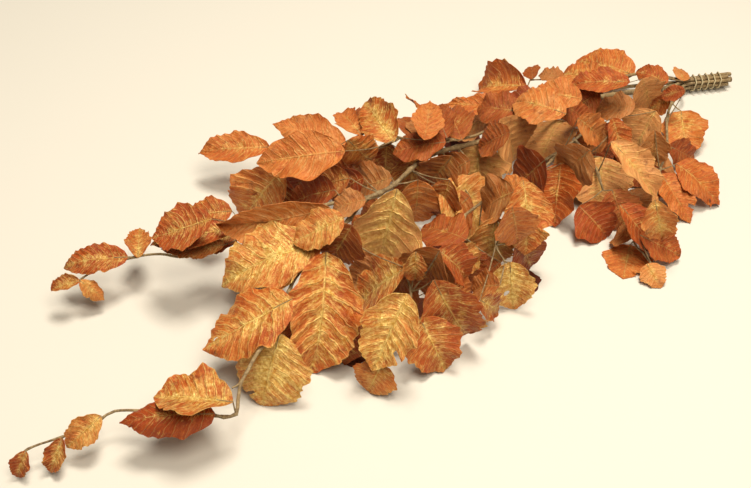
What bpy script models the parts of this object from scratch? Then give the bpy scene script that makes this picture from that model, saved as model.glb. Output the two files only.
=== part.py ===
"""A tied bunch of preserved beech branches, lying on its side.

Metres, +Z up. The bunch lies along X with its cut ends toward +X, on the plane z = 0, and
the origin is under the middle of its box. Each branch is one grown piece: its stem, its
twigs and its leaves. One tie is wound round the six stems near their cut ends.

Stems and leaves are placed as the photograph shows them. A stem's route is a list of
pixels, each met by its sight line at a height above the table. A leaf has the pixel of
its base, the pixel of its tip and its breadth; its length follows from its breadth, and
its tip lies that far from its base, on the tip's own sight line.
"""

import math
import random
from collections import namedtuple

import bpy
import bmesh
from mathutils import Vector
from mathutils.bvhtree import BVHTree

MM = 0.001
UP = Vector((0.0, 0.0, 1.0))

# The eye that the pixels are read with, in a frame of 751 x 488 pixels
PHOTO_WIDTH, PHOTO_HEIGHT = 751, 488
VIEW_ANGLE = math.radians(40.0)
LOOK_DOWN = math.radians(42.0)
EYE_DISTANCE = 0.90
BUNCH_TURN = math.radians(37.9)
# Where the middle of the view meets the table, measured from the part's origin
VIEW_MIDDLE = Vector((-0.0487, 0.0100, 0.0))

# The tie, and where the stems sit in it: across, up and thickness, in mm
TIE_FROM, TIE_TO = (719, 82.0), (688, 85.5)
BUNDLE_HEIGHT = 8.5 * MM
TIE_TURNS = 5
TIE_THICK = 1.3 * MM
TIE_GAP = 0.45 * MM
TIE_STEPS = 12
STRAIGHT_PAST_TIE = 7 * MM

# Beech leaves
LEAF_PROPORTION = 0.64       # breadth over length
SHORTEST_LEAN = 1.03         # a leaf is at least this much longer than it looks
BLADE_THICK = 0.8 * MM
BLADE_CLEAR = 0.6 * MM       # kept free on both sides of a blade
SCALLOPS = 2.5
SCALLOP_DEPTH = 0.07
WAVE = 0.020                 # of the length, up and down along the edge
BROADEST, FULLNESS = 0.85, 0.75    # powers that shape a blade's outline
BOWS = (0.02, 0.10)          # of the length, along the midrib
FOLDS = (4, 14)              # degrees, at the midrib
TWISTS = (-14, 14)           # degrees, from base to tip
CURL_SPREAD, TURN_SPREAD = 8, 12   # degrees more or less than in the table
BLADE_ROWS, SMALL_BLADE_ROWS = 5, 4
ROW_CROWDING = 1.25          # rows stand closer together toward the base
SMALL_BLADE = 55 * MM
STALK_THICK = 1.1 * MM
BENT_BACK = 0.3              # stalks whose cosine to the midrib is less are meshes of their own
SUNK_IN = 0.06               # and end at this share of the blade
UPRIGHT = 0.6                # how far a blade faces up rather than to the eye
CURLED = math.radians(45)    # blades that curl more have two more columns
LOWEST = 0.9 * MM            # no blade's middle lies lower over the table

# Finding a leaf its place
BASE_LIFT = 2.5 * MM         # a base sits this high over its stem
NEAR_STEM = 8                # pixels; bases further from their stem hang lower
SHADE_SLOPE = 0.35           # by this many mm for each pixel
LOWEST_BASE = 4 * MM
LIFTS = [*range(0, 46, 3), -4, -8, -12]
STRETCHES = (1.0, 0.9)
EXTRA_TURNS = (0, 14, -14, 28, -28)
FEET_TRIED = 4
SIDEWAYS_COST = 0.5          # how much a stalk that doesn't run along its midrib counts as longer
FOOT_ASIDE = 0.3 * MM        # two stalks from one node never share a foot
FIRST_TESTED = 0.12          # a blade may touch its own twig before this share of it

WOOD_SIDES, TWIG_SIDES, STALK_SIDES, TIE_SIDES = 5, 4, 4, 4
WOOD_STEP, TWIG_STEP = 22 * MM, 18 * MM

LEAF_COLOUR = (0.50, 0.145, 0.030, 1.0)
TIE_COLOUR = (0.55, 0.44, 0.27, 1.0)

Route = namedtuple("Route", "thick_from thick_to points")
Branch = namedtuple("Branch", "name seat butt routes low middle top hidden")

# Routes: pixel x, pixel y and height in mm, from the tie to the tip.
# Leaves: base x, base y, tip x, tip y, breadth in mm, turn about the midrib and curl of
# the edges in degrees. The low leaves of all branches lie under the middle ones, and the
# top leaves over them. Hidden leaves lie flat on the table, under the bunch: the same
# numbers without turn and curl.
LONG = Branch(
    "branch_long", seat=(0.0, 0.0, 6.2), butt=(735, 84.5),
    routes=[
        Route(6.2, 1.6, [
            (658, 90, 15), (632, 92, 20), (600, 97, 26), (580, 102, 30), (560, 108, 34),
            (520, 124, 40), (490, 138, 44), (458, 147, 48), (442, 151, 50), (425, 158, 52),
            (410, 170, 54), (395, 184, 56), (380, 193, 58), (365, 200, 60), (350, 218, 61),
            (337, 232, 61), (322, 246, 61), (308, 262, 60), (295, 278, 58), (289, 292, 57),
            (283, 315, 54), (272, 335, 51), (258, 352, 48), (249, 368, 45), (241, 383, 42),
            (238, 400, 39), (236, 414, 37), (224, 417, 35), (213, 416, 34), (190, 423, 32),
            (165, 413, 30), (150, 411, 29), (115, 411, 26), (100, 420, 25), (80, 430, 23),
            (62, 437, 22), (40, 444, 20), (28, 449, 19), (22, 453, 19)]),
        Route(3.6, 1.5, [
            (380, 193, 58), (362, 199, 60), (345, 201, 61), (325, 205, 61), (300, 212, 59),
            (270, 223, 55), (235, 238, 50), (220, 243, 47), (205, 248, 44), (183, 257, 41),
            (160, 254, 38), (135, 257, 35), (105, 266, 32), (90, 273, 30), (80, 280, 29)]),
        Route(1.8, 1.4, [(205, 248, 44), (201, 254, 43), (196, 259, 42)]),
        Route(2.0, 1.5, [(190, 423, 32), (188, 429, 32), (187, 434, 32)]),
        Route(2.2, 1.5, [(241, 383, 42), (236, 386, 42), (232, 388, 42)]),
    ],
    low=[
        (290, 240, 230, 258, 34, 0, 10), (392, 178, 352, 192, 34, 0, 0),
        (350, 178, 305, 188, 30, 0, 10), (335, 190, 290, 205, 34, 0, 0),
        (352, 225, 330, 262, 36, 0, 0), (470, 196, 442, 226, 38, 0, 0),
        (450, 180, 440, 217, 32, 0, 10), (470, 160, 440, 185, 34, 0, 0),
        (300, 285, 305, 340, 44, 0, 0), (405, 215, 352, 250, 50, 0, 0),
        (345, 300, 345, 365, 36, 0, 0), (240, 236, 190, 243, 24, 0, 0),
        (366, 200, 330, 212, 24, 0, 0), (452, 156, 428, 184, 34, 0, 0),
        (318, 256, 262, 290, 38, 0, 0), (510, 132, 478, 149, 30, 0, 0),
        (364, 178, 332, 200, 32, 0, 0), (224, 245, 162, 251, 22, 0, 0)],
    middle=[
        (235, 230, 150, 245, 36, 0, 40), (212, 219, 153, 239, 39, 0, 0),
        (232, 211, 184, 218, 28, 0, 10), (138, 258, 140, 229, 24, 0, 35),
        (128, 257, 62, 266, 28, 0, 15), (80, 281, 104, 300, 16, 0, -50),
        (80, 281, 50, 290, 16, 0, 50), (62, 438, 50, 473, 17, 0, 30),
        (26, 451, 17, 479, 15, 0, 30), (101, 416, 66, 448, 23, 0, 30),
        (215, 414, 119, 422, 31, 0, -60), (387, 142, 385, 179, 36, 0, 20),
        (418, 180, 413, 226, 36, 0, 0), (406, 268, 356, 304, 46, 0, 10),
        (322, 243, 218, 283, 54, 0, 0), (292, 299, 204, 351, 49, 0, 0),
        (344, 218, 293, 243, 32, 15, 0), (492, 119, 449, 131, 38, 0, 0)],
    top=[
        (233, 402, 153, 395, 42, 0, 15), (280, 333, 261, 409, 60, 0, -15),
        (326, 252, 312, 378, 60, 0, 10), (330, 208, 215, 227, 33, 0, 10),
        (418, 150, 408, 194, 42, 0, 30), (397, 189, 376, 272, 58, 0, 0),
        (562, 120, 541, 163, 58, 0, 0), (500, 119, 512, 165, 48, 0, 0),
        (479, 145, 480, 196, 62, 0, -10), (441, 186, 488, 229, 54, 0, 0)],
    hidden=[(352, 330, 352, 367, 30), (470, 215, 430, 200, 34)])

UPPER = Branch(
    "branch_upper", seat=(5.6, -0.9, 4.4), butt=(728, 80),
    routes=[
        Route(4.4, 1.5, [
            (655, 84, 10), (600, 90, 12), (560, 100, 20), (520, 113, 32), (495, 126, 44),
            (470, 137, 56), (430, 141, 60), (400, 138, 60), (380, 130, 58), (362, 134, 56),
            (346, 143, 54), (325, 153, 52), (305, 160, 50), (282, 175, 46)]),
    ],
    low=[
        (346, 146, 322, 180, 34, 0, 0), (313, 165, 300, 196, 34, 0, 0),
        (284, 178, 275, 217, 40, 0, 0), (425, 140, 425, 115, 28, 0, 0),
        (412, 138, 402, 117, 25, 0, 0), (375, 150, 350, 180, 38, 0, 0),
        (447, 138, 432, 108, 28, 0, 20), (446, 142, 392, 152, 30, 0, 0),
        (462, 140, 446, 108, 32, 0, 0)],
    middle=[
        (270, 147, 196, 151, 32, 0, 10), (346, 147, 273, 126, 32, 0, 0),
        (282, 170, 243, 220, 58, 0, 0), (361, 135, 342, 113, 29, 0, 20),
        (348, 140, 374, 164, 34, 0, -30), (424, 140, 430, 101, 28, 0, 10),
        (425, 116, 404, 95, 13, 60, 0)],
    top=[
        (345, 151, 256, 163, 34, 0, 0), (394, 142, 366, 103, 36, 0, 0)],
    hidden=[(340, 175, 300, 160, 34), (480, 150, 440, 130, 34)])

LOWER = Branch(
    "branch_lower", seat=(-5.6, -0.9, 4.4), butt=(713, 88),
    routes=[
        Route(4.4, 1.5, [
            (655, 99, 9), (620, 118, 13), (580, 140, 19), (540, 163, 26), (500, 190, 33),
            (465, 215, 40), (440, 238, 44), (420, 258, 47), (408, 275, 48), (411, 292, 45),
            (409, 310, 42), (403, 326, 38), (396, 340, 33), (393, 352, 28), (386, 365, 22)]),
        Route(2.6, 1.5, [(465, 215, 40), (462, 235, 38), (456, 252, 35), (444, 280, 30)]),
    ],
    low=[
        (440, 250, 425, 290, 42, 0, 0), (443, 285, 470, 305, 30, 0, 10),
        (455, 245, 470, 287, 38, 0, 0), (402, 300, 380, 332, 30, 0, 0),
        (412, 270, 392, 304, 34, 0, 0), (500, 262, 474, 286, 30, 0, 0),
        (466, 240, 422, 230, 34, 0, 0), (398, 266, 350, 284, 32, 0, 0),
        (452, 250, 438, 284, 26, 0, 0)],
    middle=[
        (416, 252, 415, 282, 18, 0, 0), (438, 250, 468, 280, 34, 0, 20),
        (434, 280, 468, 336, 48, 0, 0), (420, 318, 447, 373, 49, 0, 10),
        (382, 364, 367, 393, 35, 0, -30)],
    top=[
        (452, 248, 480, 268, 25, 0, 0), (408, 294, 372, 371, 46, 0, 20)],
    hidden=[(410, 300, 440, 330, 30), (478, 242, 424, 252, 32)])

TOP = Branch(
    "branch_top", seat=(2.8, 5.0, 4.2), butt=(735, 79),
    routes=[
        Route(4.2, 1.6, [
            (665, 77, 21), (645, 73, 25), (622, 77, 29), (600, 83, 34), (562, 96, 41),
            (530, 104, 46), (500, 106, 50)]),
        Route(2.6, 1.5, [(600, 83, 34), (580, 80, 35), (560, 79, 35), (530, 80, 33)]),
    ],
    low=[
        (565, 78, 538, 74, 18, 0, 0), (533, 79, 532, 65, 16, 0, 0),
        (545, 100, 500, 112, 32, 0, 0), (600, 92, 560, 118, 32, 0, 0),
        (560, 104, 590, 122, 28, 0, 0), (520, 112, 476, 108, 32, 0, 0),
        (668, 82, 636, 71, 20, 0, 0)],
    middle=[
        (527, 87, 478, 90, 44, 0, 40), (602, 87, 560, 72, 38, 0, 10),
        (508, 107, 443, 104, 23, 0, 0), (582, 99, 530, 92, 26, 0, 0),
        (630, 82, 568, 84, 30, 0, 0), (683, 81, 678, 67, 19, 0, 0)],
    top=[
        (634, 75, 577, 62, 45, 0, -10), (566, 114, 511, 100, 39, 0, 0),
        (642, 79, 648, 109, 39, 0, 0)],
    hidden=[(605, 102, 560, 88, 34)])

FRONT = Branch(
    "branch_front", seat=(-2.5, 5.4, 4.0), butt=(724, 84),
    routes=[
        Route(4.0, 1.5, [
            (665, 93, 20), (640, 103, 26), (625, 108, 29), (610, 116, 32), (598, 121, 34),
            (575, 140, 38), (552, 160, 42), (530, 182, 45), (512, 205, 47), (500, 225, 48),
            (496, 245, 46), (505, 262, 43)]),
        Route(2.6, 1.5, [(575, 140, 38), (588, 155, 36), (598, 172, 33), (603, 190, 30)]),
    ],
    low=[
        (560, 150, 575, 185, 38, 0, 0), (590, 150, 565, 178, 38, 0, 0),
        (500, 285, 472, 292, 25, 0, 10), (579, 206, 609, 239, 34, 0, 10),
        (518, 240, 530, 266, 28, 0, 0), (545, 160, 514, 190, 40, 0, 0),
        (635, 106, 592, 112, 30, 0, 0), (610, 134, 578, 156, 36, 0, 10),
        (620, 150, 640, 187, 34, 0, 0), (612, 190, 628, 232, 34, 0, 0),
        (514, 192, 482, 212, 34, 0, 0), (612, 122, 606, 160, 30, 0, 0),
        (596, 152, 592, 185, 28, 0, 0)],
    middle=[
        (480, 300, 497, 311, 24, 0, 0), (562, 163, 556, 227, 46, 0, 15),
        (523, 180, 526, 256, 44, 0, 10), (512, 207, 517, 243, 32, 0, 0),
        (495, 217, 492, 265, 40, 0, 0), (510, 262, 513, 309, 37, 0, 0),
        (670, 98, 644, 112, 22, 0, 0), (612, 118, 622, 165, 28, 0, 20)],
    top=[
        (530, 186, 492, 209, 38, 0, 0),
        (601, 157, 599, 212, 53, 0, -15), (578, 118, 603, 140, 30, 0, 0),
        (611, 142, 657, 205, 32, 0, 20), (656, 111, 635, 151, 50, 0, 0)],
    hidden=[(520, 268, 526, 297, 24), (575, 165, 560, 190, 32)])

RIGHT = Branch(
    "branch_right", seat=(-6.4, 4.0, 3.4), butt=(708, 87),
    routes=[
        Route(3.4, 1.5, [
            (684, 93, 15), (672, 103, 17), (667, 120, 21), (667, 150, 23), (660, 170, 23),
            (655, 200, 21), (645, 225, 18), (634, 242, 15), (643, 253, 11), (651, 264, 8)]),
    ],
    low=[
        (630, 190, 645, 222, 30, 0, 20), (650, 165, 655, 200, 32, 0, 0),
        (662, 152, 643, 188, 38, 0, 0), (668, 146, 694, 160, 24, 0, 0),
        (634, 236, 612, 238, 22, 0, 0)],
    middle=[
        (620, 205, 652, 253, 36, 0, 10), (640, 235, 682, 257, 28, 0, 0),
        (655, 200, 663, 240, 30, 0, 0), (647, 264, 661, 289, 23, 0, -10),
        (655, 130, 655, 165, 28, 0, 10)],
    top=[
        (661, 174, 690, 223, 34, 0, 15), (676, 164, 718, 206, 43, 0, 0),
        (685, 90, 660, 97, 16, 0, 0), (681, 111, 687, 160, 44, 0, 10)],
    hidden=[(630, 245, 623, 279, 33)])

BRANCHES = [LONG, UPPER, LOWER, TOP, FRONT, RIGHT]


# The eye

def eye_frame():
    """Return the eye and the view's rightward and forward directions over the table."""
    right = Vector((math.cos(BUNCH_TURN), -math.sin(BUNCH_TURN), 0.0))
    forward = Vector((math.sin(BUNCH_TURN), math.cos(BUNCH_TURN), 0.0))
    back = EYE_DISTANCE * math.cos(LOOK_DOWN)
    eye = VIEW_MIDDLE - forward * back + UP * EYE_DISTANCE * math.sin(LOOK_DOWN)
    return eye, right, forward


EYE, RIGHTWARD, FORWARD = eye_frame()
FOCAL = PHOTO_WIDTH / 2 / math.tan(VIEW_ANGLE / 2)
SIGHT = FORWARD * math.cos(LOOK_DOWN) - UP * math.sin(LOOK_DOWN)
DOWNWARD = -FORWARD * math.sin(LOOK_DOWN) - UP * math.cos(LOOK_DOWN)


def sight_line(px, py):
    """Return the direction of the sight line through a pixel."""
    across = (px - PHOTO_WIDTH / 2) / FOCAL
    down = (py - PHOTO_HEIGHT / 2) / FOCAL
    return (SIGHT + RIGHTWARD * across + DOWNWARD * down).normalized()


def seen_at(px, py, height):
    """Return the point that a pixel shows at a height above the table."""
    line = sight_line(px, py)
    return EYE + line * ((height - EYE.z) / line.z)


def pixel_of(point):
    """Return the pixel that shows a point."""
    away = point - EYE
    depth = away.dot(SIGHT)
    return Vector((PHOTO_WIDTH / 2 + FOCAL * away.dot(RIGHTWARD) / depth,
                   PHOTO_HEIGHT / 2 + FOCAL * away.dot(DOWNWARD) / depth))


# Wood

def smooth_path(points, step):
    """Return points a step apart on a Catmull-Rom curve through the given ones."""
    ends = [points[0] * 2 - points[1]] + points + [points[-1] * 2 - points[-2]]
    path = [points[0]]
    for a, b, c, d in zip(ends, ends[1:], ends[2:], ends[3:]):
        parts = max(1, round((c - b).length / step))
        for k in range(1, parts + 1):
            t = k / parts
            path.append(0.5 * (2 * b + (c - a) * t + (2 * a - 5 * b + 4 * c - d) * t * t
                               + (3 * b - a - 3 * c + d) * t ** 3))
    return path


def tube(path, radii, sides):
    """Return the vertices and triangles of a closed tube along a path."""
    verts, faces = [], []
    side = UP.cross(path[1] - path[0]).normalized()
    for k, point in enumerate(path):
        ahead = (path[min(k + 1, len(path) - 1)] - path[max(k - 1, 0)]).normalized()
        side = (side - ahead * side.dot(ahead)).normalized()
        over = ahead.cross(side)
        for n in range(sides):
            angle = math.tau * n / sides
            verts.append(point + (side * math.cos(angle) + over * math.sin(angle)) * radii[k])
    for k in range(len(path) - 1):
        for n in range(sides):
            a, b = k * sides + n, k * sides + (n + 1) % sides
            faces += [(a, b, b + sides), (a, b + sides, a + sides)]
    last = (len(path) - 1) * sides
    for n in range(1, sides - 1):
        faces += [(0, n + 1, n), (last, last + n, last + n + 1)]
    return verts, faces


def bundle_frame():
    """Return the tie's two ends on the bundle's line, and the directions across and up."""
    start = seen_at(*TIE_FROM, BUNDLE_HEIGHT)
    end = seen_at(*TIE_TO, BUNDLE_HEIGHT)
    end.z = start.z
    along = (end - start).normalized()
    return start, end, along, -UP.cross(along)


TIE_START, TIE_END, ALONG_TIE, ACROSS_TIE = bundle_frame()


def stem_start(branch):
    """Return a stem's cut end and where it leaves the tie, on its own line through it."""
    across, up = branch.seat[:2]
    shift = (ACROSS_TIE * across + UP * up) * MM
    butt = seen_at(*branch.butt, BUNDLE_HEIGHT + up * MM)
    reach = max((TIE_START - butt).dot(ALONG_TIE), STRAIGHT_PAST_TIE)
    return [TIE_START + shift - ALONG_TIE * reach,
            TIE_START + shift,
            TIE_END + shift + ALONG_TIE * STRAIGHT_PAST_TIE]


def grow_wood(branch):
    """Return the stem and twigs of a branch as paths with their radii."""
    wood = []
    for k, route in enumerate(branch.routes):
        points = [seen_at(px, py, height * MM) for px, py, height in route.points]
        if k == 0:
            points = stem_start(branch) + points
        path = smooth_path(points, WOOD_STEP if k == 0 else TWIG_STEP)
        last = len(path) - 1
        radii = [(route.thick_from + (route.thick_to - route.thick_from) * n / last) * MM / 2
                 for n in range(last + 1)]
        wood.append((path, radii, WOOD_SIDES if k == 0 else TWIG_SIDES))
    return wood


# Leaves

class Blade:
    """A leaf's place and form: where its midrib runs, how broad it is and how it bends."""

    def __init__(self, base, tip, breadth, turn, curl, seed, flat=False):
        draw = random.Random(seed)
        self.base, self.tip, self.breadth = base, tip, breadth
        self.length = (tip - base).length
        self.ahead = (tip - base).normalized()
        self.flat = flat
        self.bow = draw.uniform(*BOWS)
        self.fold = math.radians(draw.uniform(*FOLDS))
        self.twist = math.radians(draw.uniform(*TWISTS))
        self.phase = draw.uniform(0, math.tau)
        self.curl = math.radians(curl + draw.uniform(-CURL_SPREAD, CURL_SPREAD))
        turn = math.radians(turn + draw.uniform(-TURN_SPREAD, TURN_SPREAD))
        self.aside = draw.uniform(-1, 1) * FOOT_ASIDE
        facing = (UP * UPRIGHT + (EYE - base).normalized()).normalized()
        if flat:
            self.bow = self.fold = self.twist = self.curl = turn = 0.0
            facing = UP
        over = (facing - self.ahead * facing.dot(self.ahead)).normalized()
        side = self.ahead.cross(over)
        self.over = over * math.cos(turn) + side * math.sin(turn)
        self.side = self.ahead.cross(self.over)

    def half(self, s):
        """Return half the breadth at s along the midrib, without its scallops."""
        rounded = max(math.sin(math.pi * s ** BROADEST), 0.0) ** FULLNESS
        return max(self.breadth * rounded, STALK_THICK) / 2

    def point(self, s, t):
        """Return the blade's middle surface at s along the midrib and t across it."""
        half = self.half(s) * (1 + SCALLOP_DEPTH * math.cos(math.tau * SCALLOPS * s) * abs(t))
        out = half * abs(t)
        bend = self.curl * abs(t)
        if abs(self.curl) > 0.01:
            reach = half / self.curl
            x = reach * (math.sin(self.fold + bend) - math.sin(self.fold))
            z = reach * (math.cos(self.fold) - math.cos(self.fold + bend))
        else:
            x, z = out * math.cos(self.fold), out * math.sin(self.fold)
        if not self.flat:
            ripple = math.cos(math.tau * SCALLOPS * s + self.phase * (1 if t > 0 else 2))
            z += WAVE * self.length * ripple * t * t * math.sin(math.pi * s)
        roll = self.twist * (s - 0.5)
        side = self.side * math.cos(roll) + self.over * math.sin(roll)
        over = self.over * math.cos(roll) - self.side * math.sin(roll)
        middle = self.base + (self.tip - self.base) * s
        middle += self.over * self.bow * self.length * 4 * s * (1 - s)
        place = middle + side * math.copysign(x, t) + over * z
        floor = BLADE_THICK / 2 if self.flat else LOWEST
        place.z = max(place.z, floor)
        return place


def blade_grid(blade, rows, columns, spread, first):
    """Return rows of points on a blade, and the direction that faces out at each."""
    grid = []
    for i in range(rows + 1):
        s = max(first, (i / rows) ** ROW_CROWDING)
        line = []
        for j in range(columns + 1):
            t = 2 * j / columns - 1
            place = blade.point(s, t)
            if spread and abs(t) == 1:
                place = place + blade.side * math.copysign(spread, t)
            line.append(place)
        grid.append(line)
    outward = []
    for i in range(rows + 1):
        line = []
        for j in range(columns + 1):
            down = grid[min(i + 1, rows)][j] - grid[max(i - 1, 0)][j]
            across = grid[i][min(j + 1, columns)] - grid[i][max(j - 1, 0)]
            line.append(UP.copy() if blade.flat else across.cross(down).normalized())
        outward.append(line)
    return grid, outward


def split(quad, flip):
    """Return a quad's two triangles, cut along one diagonal or the other."""
    a, b, c, d = quad
    return [(a, b, d), (b, c, d)] if flip else [(a, b, c), (a, c, d)]


def leaf_shell(blade, stalk, thick, spread=0.0, first=0.0):
    """Return the closed mesh of a blade, with its stalk drawn out to a foot in the wood.

    Both faces of the blade are cut into triangles alike, so they never meet.
    """
    rows = BLADE_ROWS if blade.length > SMALL_BLADE else SMALL_BLADE_ROWS
    columns = 4 if abs(blade.curl) > CURLED else 2
    wide = columns + 1
    verts = []
    if stalk:
        ahead = (blade.base - stalk).normalized()
        side = (blade.side - ahead * blade.side.dot(ahead)).normalized()
        over = side.cross(ahead) * STALK_THICK / 2
        line = [stalk + side * STALK_THICK * (j / columns - 0.5) for j in range(wide)]
        verts += [p + over for p in line] + [p - over for p in line]
    grid, outward = blade_grid(blade, rows, columns, spread, first)
    for line, normals in zip(grid, outward):
        verts += [p + n * thick / 2 for p, n in zip(line, normals)]
        verts += [p - n * thick / 2 for p, n in zip(line, normals)]
    for v in verts:
        v.z = max(v.z, 0.0)
    faces = []
    sections = len(verts) // (2 * wide)
    for i in range(sections - 1):
        a, b = i * 2 * wide, (i + 1) * 2 * wide
        for j in range(columns):
            for level in (0, wide):
                quad = (a + j + level, a + j + 1 + level, b + j + 1 + level, b + j + level)
                faces += split(quad, j < columns / 2)
        for j in (0, columns):
            faces += split((a + j, b + j, b + j + wide, a + j + wide), False)
    for a in (0, (sections - 1) * 2 * wide):
        for j in range(a, a + columns):
            faces += split((j, j + 1, j + 1 + wide, j + wide), False)
    return verts, faces


def stalk_line(blade, foot):
    """Return the line that a stalk's middle follows, and whether it bends back at the blade."""
    lean = (blade.base - foot).normalized().dot(blade.ahead)
    if lean < BENT_BACK:
        return [foot, blade.point(SUNK_IN, 0.0)], True
    return [foot, blade.base, blade.point(FIRST_TESTED, 0.0)], False


def leaf_shells(blade, foot):
    """Return a leaf's closed meshes: one, or a blade and the stalk that is sunk into it."""
    line, bent_back = stalk_line(blade, foot)
    if bent_back:
        stalk = tube(line, [STALK_THICK / 2] * 2, STALK_SIDES)
        for v in stalk[0]:
            v.z = max(v.z, 0.0)
        return [leaf_shell(blade, None, BLADE_THICK), stalk]
    return [leaf_shell(blade, foot, BLADE_THICK)]


# Finding each leaf a free place

def pixel_box(points):
    """Return the lowest and highest pixels that show any of the points."""
    pixels = [pixel_of(p) for p in points]
    return (Vector((min(p.x for p in pixels), min(p.y for p in pixels))),
            Vector((max(p.x for p in pixels), max(p.y for p in pixels))))


class Neighbours:
    """What has been placed so far, so that the next leaf lies clear of it."""

    def __init__(self):
        self.things = []
        self.shown = []

    def add(self, owner, kind, verts, faces):
        low = Vector(min(v[k] for v in verts) for k in range(3))
        high = Vector(max(v[k] for v in verts) for k in range(3))
        tree = BVHTree.FromPolygons(verts, faces)
        self.things.append((owner, kind, low, high, tree))
        if kind == "blade":
            self.shown.append((*pixel_box(verts), tree))

    def hides(self, blade):
        """Say whether anything that has been placed hides part of a blade from the eye."""
        spots = [blade.point(s, t) for s in (0.2, 0.5, 0.8) for t in (-0.7, 0.0, 0.7)]
        low, high = pixel_box(spots)
        for its_low, its_high, tree in self.shown:
            if high.x < its_low.x or its_high.x < low.x or high.y < its_low.y or its_high.y < low.y:
                continue
            for spot in spots:
                if tree.ray_cast(spot, (EYE - spot).normalized())[0]:
                    return True
        return False

    def touched(self, verts, faces, skip):
        """Say whether a mesh crosses anything that skip(owner, kind) doesn't leave out."""
        low = Vector(min(v[k] for v in verts) for k in range(3))
        high = Vector(max(v[k] for v in verts) for k in range(3))
        tree = None
        for owner, kind, its_low, its_high, its_tree in self.things:
            if skip(owner, kind) or any(high[k] < its_low[k] or its_high[k] < low[k] for k in range(3)):
                continue
            tree = tree or BVHTree.FromPolygons(verts, faces)
            if tree.overlap(its_tree):
                return True
        return False


def tip_at(base, px, py, length):
    """Return the point of a sight line that lies a length from the base, on its far side."""
    line = sight_line(px, py)
    away = base - EYE
    near = away.dot(line)
    aside = (away - line * near).length
    length = max(length, aside * SHORTEST_LEAN)
    tip = EYE + line * (near + math.sqrt(length ** 2 - aside ** 2))
    if tip.z < LOWEST:
        tip = seen_at(px, py, LOWEST)
    return tip


def base_height(px, py, wood):
    """Return how high a leaf's base hangs: as its stem, and lower the further from it."""
    pixel = Vector((px, py))
    gap, height = min(((pixel_of(p) - pixel).length, p.z) for path, _, _ in wood for p in path)
    return max(height + BASE_LIFT - SHADE_SLOPE * MM * max(gap - NEAR_STEM, 0.0), LOWEST_BASE)


def feet(blade, wood):
    """Return the places on the branch's wood that the stalk could grow from, best first."""
    found = []
    for path, _, _ in wood:
        for p in path[1:]:
            run = blade.base - p
            if run.length < 1e-6:
                found.append((0.0, p))
                continue
            lean = run.normalized().dot(blade.ahead)
            found.append((run.length * (1 + SIDEWAYS_COST * (1 - lean)), p))
    found.sort(key=lambda pair: pair[0])
    return [p for _, p in found[:FEET_TRIED]]


def try_blade(branch, blade, wood, others, own_too):
    """Return the foot of the leaf's stalk if blade and stalk lie clear, else None."""
    def skip_own(owner, kind):
        return owner == branch.name

    def skip_others(owner, kind):
        return owner != branch.name

    def skip_for_stalk(owner, kind):
        return owner == branch.name and (kind != "blade" or not own_too)

    wide = BLADE_THICK + 2 * BLADE_CLEAR
    if others.touched(*leaf_shell(blade, None, wide, BLADE_CLEAR), skip_own):
        return None
    if own_too:
        outer = leaf_shell(blade, None, wide, BLADE_CLEAR, FIRST_TESTED)
        if others.touched(*outer, skip_others):
            return None
    for foot in feet(blade, wood):
        foot = foot + blade.side * blade.aside
        if (blade.base - foot).length < STALK_THICK:
            foot = foot - blade.ahead * STALK_THICK
        line = stalk_line(blade, foot)[0]
        stalk = tube(line, [STALK_THICK / 2 + BLADE_CLEAR] * len(line), STALK_SIDES)
        if not others.touched(*stalk, skip_for_stalk):
            others.add(branch.name, "blade", *leaf_shell(blade, None, BLADE_THICK))
            others.add(branch.name, "stalk", *stalk)
            return foot
    return None


def place_leaf(branch, leaf, field, seed, wood, others):
    """Return a leaf's blade and stalk foot, lifted along its sight lines until it is clear."""
    px, py, tip_x, tip_y, breadth, turn, curl = leaf
    height = base_height(px, py, wood)
    for own_too, in_front in ((True, True), (True, False), (False, False)):
        if in_front and field == "low":
            continue
        for lift in LIFTS:
            if height + lift * MM < LOWEST_BASE:
                continue
            base = seen_at(px, py, height + lift * MM)
            for stretch in STRETCHES:
                tip = tip_at(base, tip_x, tip_y, breadth * MM / LEAF_PROPORTION * stretch)
                for extra in EXTRA_TURNS:
                    blade = Blade(base, tip, breadth * MM, turn + extra, curl, seed)
                    if in_front and others.hides(blade):
                        continue
                    stalk = try_blade(branch, blade, wood, others, own_too)
                    if stalk:
                        return blade, stalk
    return None


def place_hidden(branch, leaf, field, seed, wood, others):
    """Return the blade and stalk foot of a leaf that lies flat on the table."""
    px, py, tip_x, tip_y, breadth = leaf
    base = seen_at(px, py, BLADE_THICK / 2)
    tip = seen_at(tip_x, tip_y, BLADE_THICK / 2)
    blade = Blade(base, tip, breadth * MM, 0, 0, seed, flat=True)
    for own_too in (True, False):
        stalk = try_blade(branch, blade, wood, others, own_too)
        if stalk:
            return blade, stalk
    return None


def grow_bunch():
    """Place all wood, then the leaves on the table, then the others from low to top."""
    others = Neighbours()
    woods = {branch.name: grow_wood(branch) for branch in BRANCHES}
    for branch in BRANCHES:
        for path, radii, sides in woods[branch.name]:
            wider = [r + BLADE_CLEAR for r in radii]
            others.add(branch.name, "wood", *tube(path, wider, sides))
    others.add("tie", "wood", *tie_mesh(BLADE_CLEAR))
    leaves = {branch.name: [] for branch in BRANCHES}
    left_out = []
    for field in ("hidden", "low", "middle", "top"):
        place = place_hidden if field == "hidden" else place_leaf
        for number, branch in enumerate(BRANCHES):
            for k, leaf in enumerate(getattr(branch, field)):
                seed = f"{field} {number} {k}"
                found = place(branch, leaf, field, seed, woods[branch.name], others)
                if found:
                    leaves[branch.name].append(found)
                else:
                    left_out.append((branch.name, field, k))
    print("leaves placed", {name: len(found) for name, found in leaves.items()})
    print("leaves left out", left_out)
    return woods, leaves


# The tie

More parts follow.
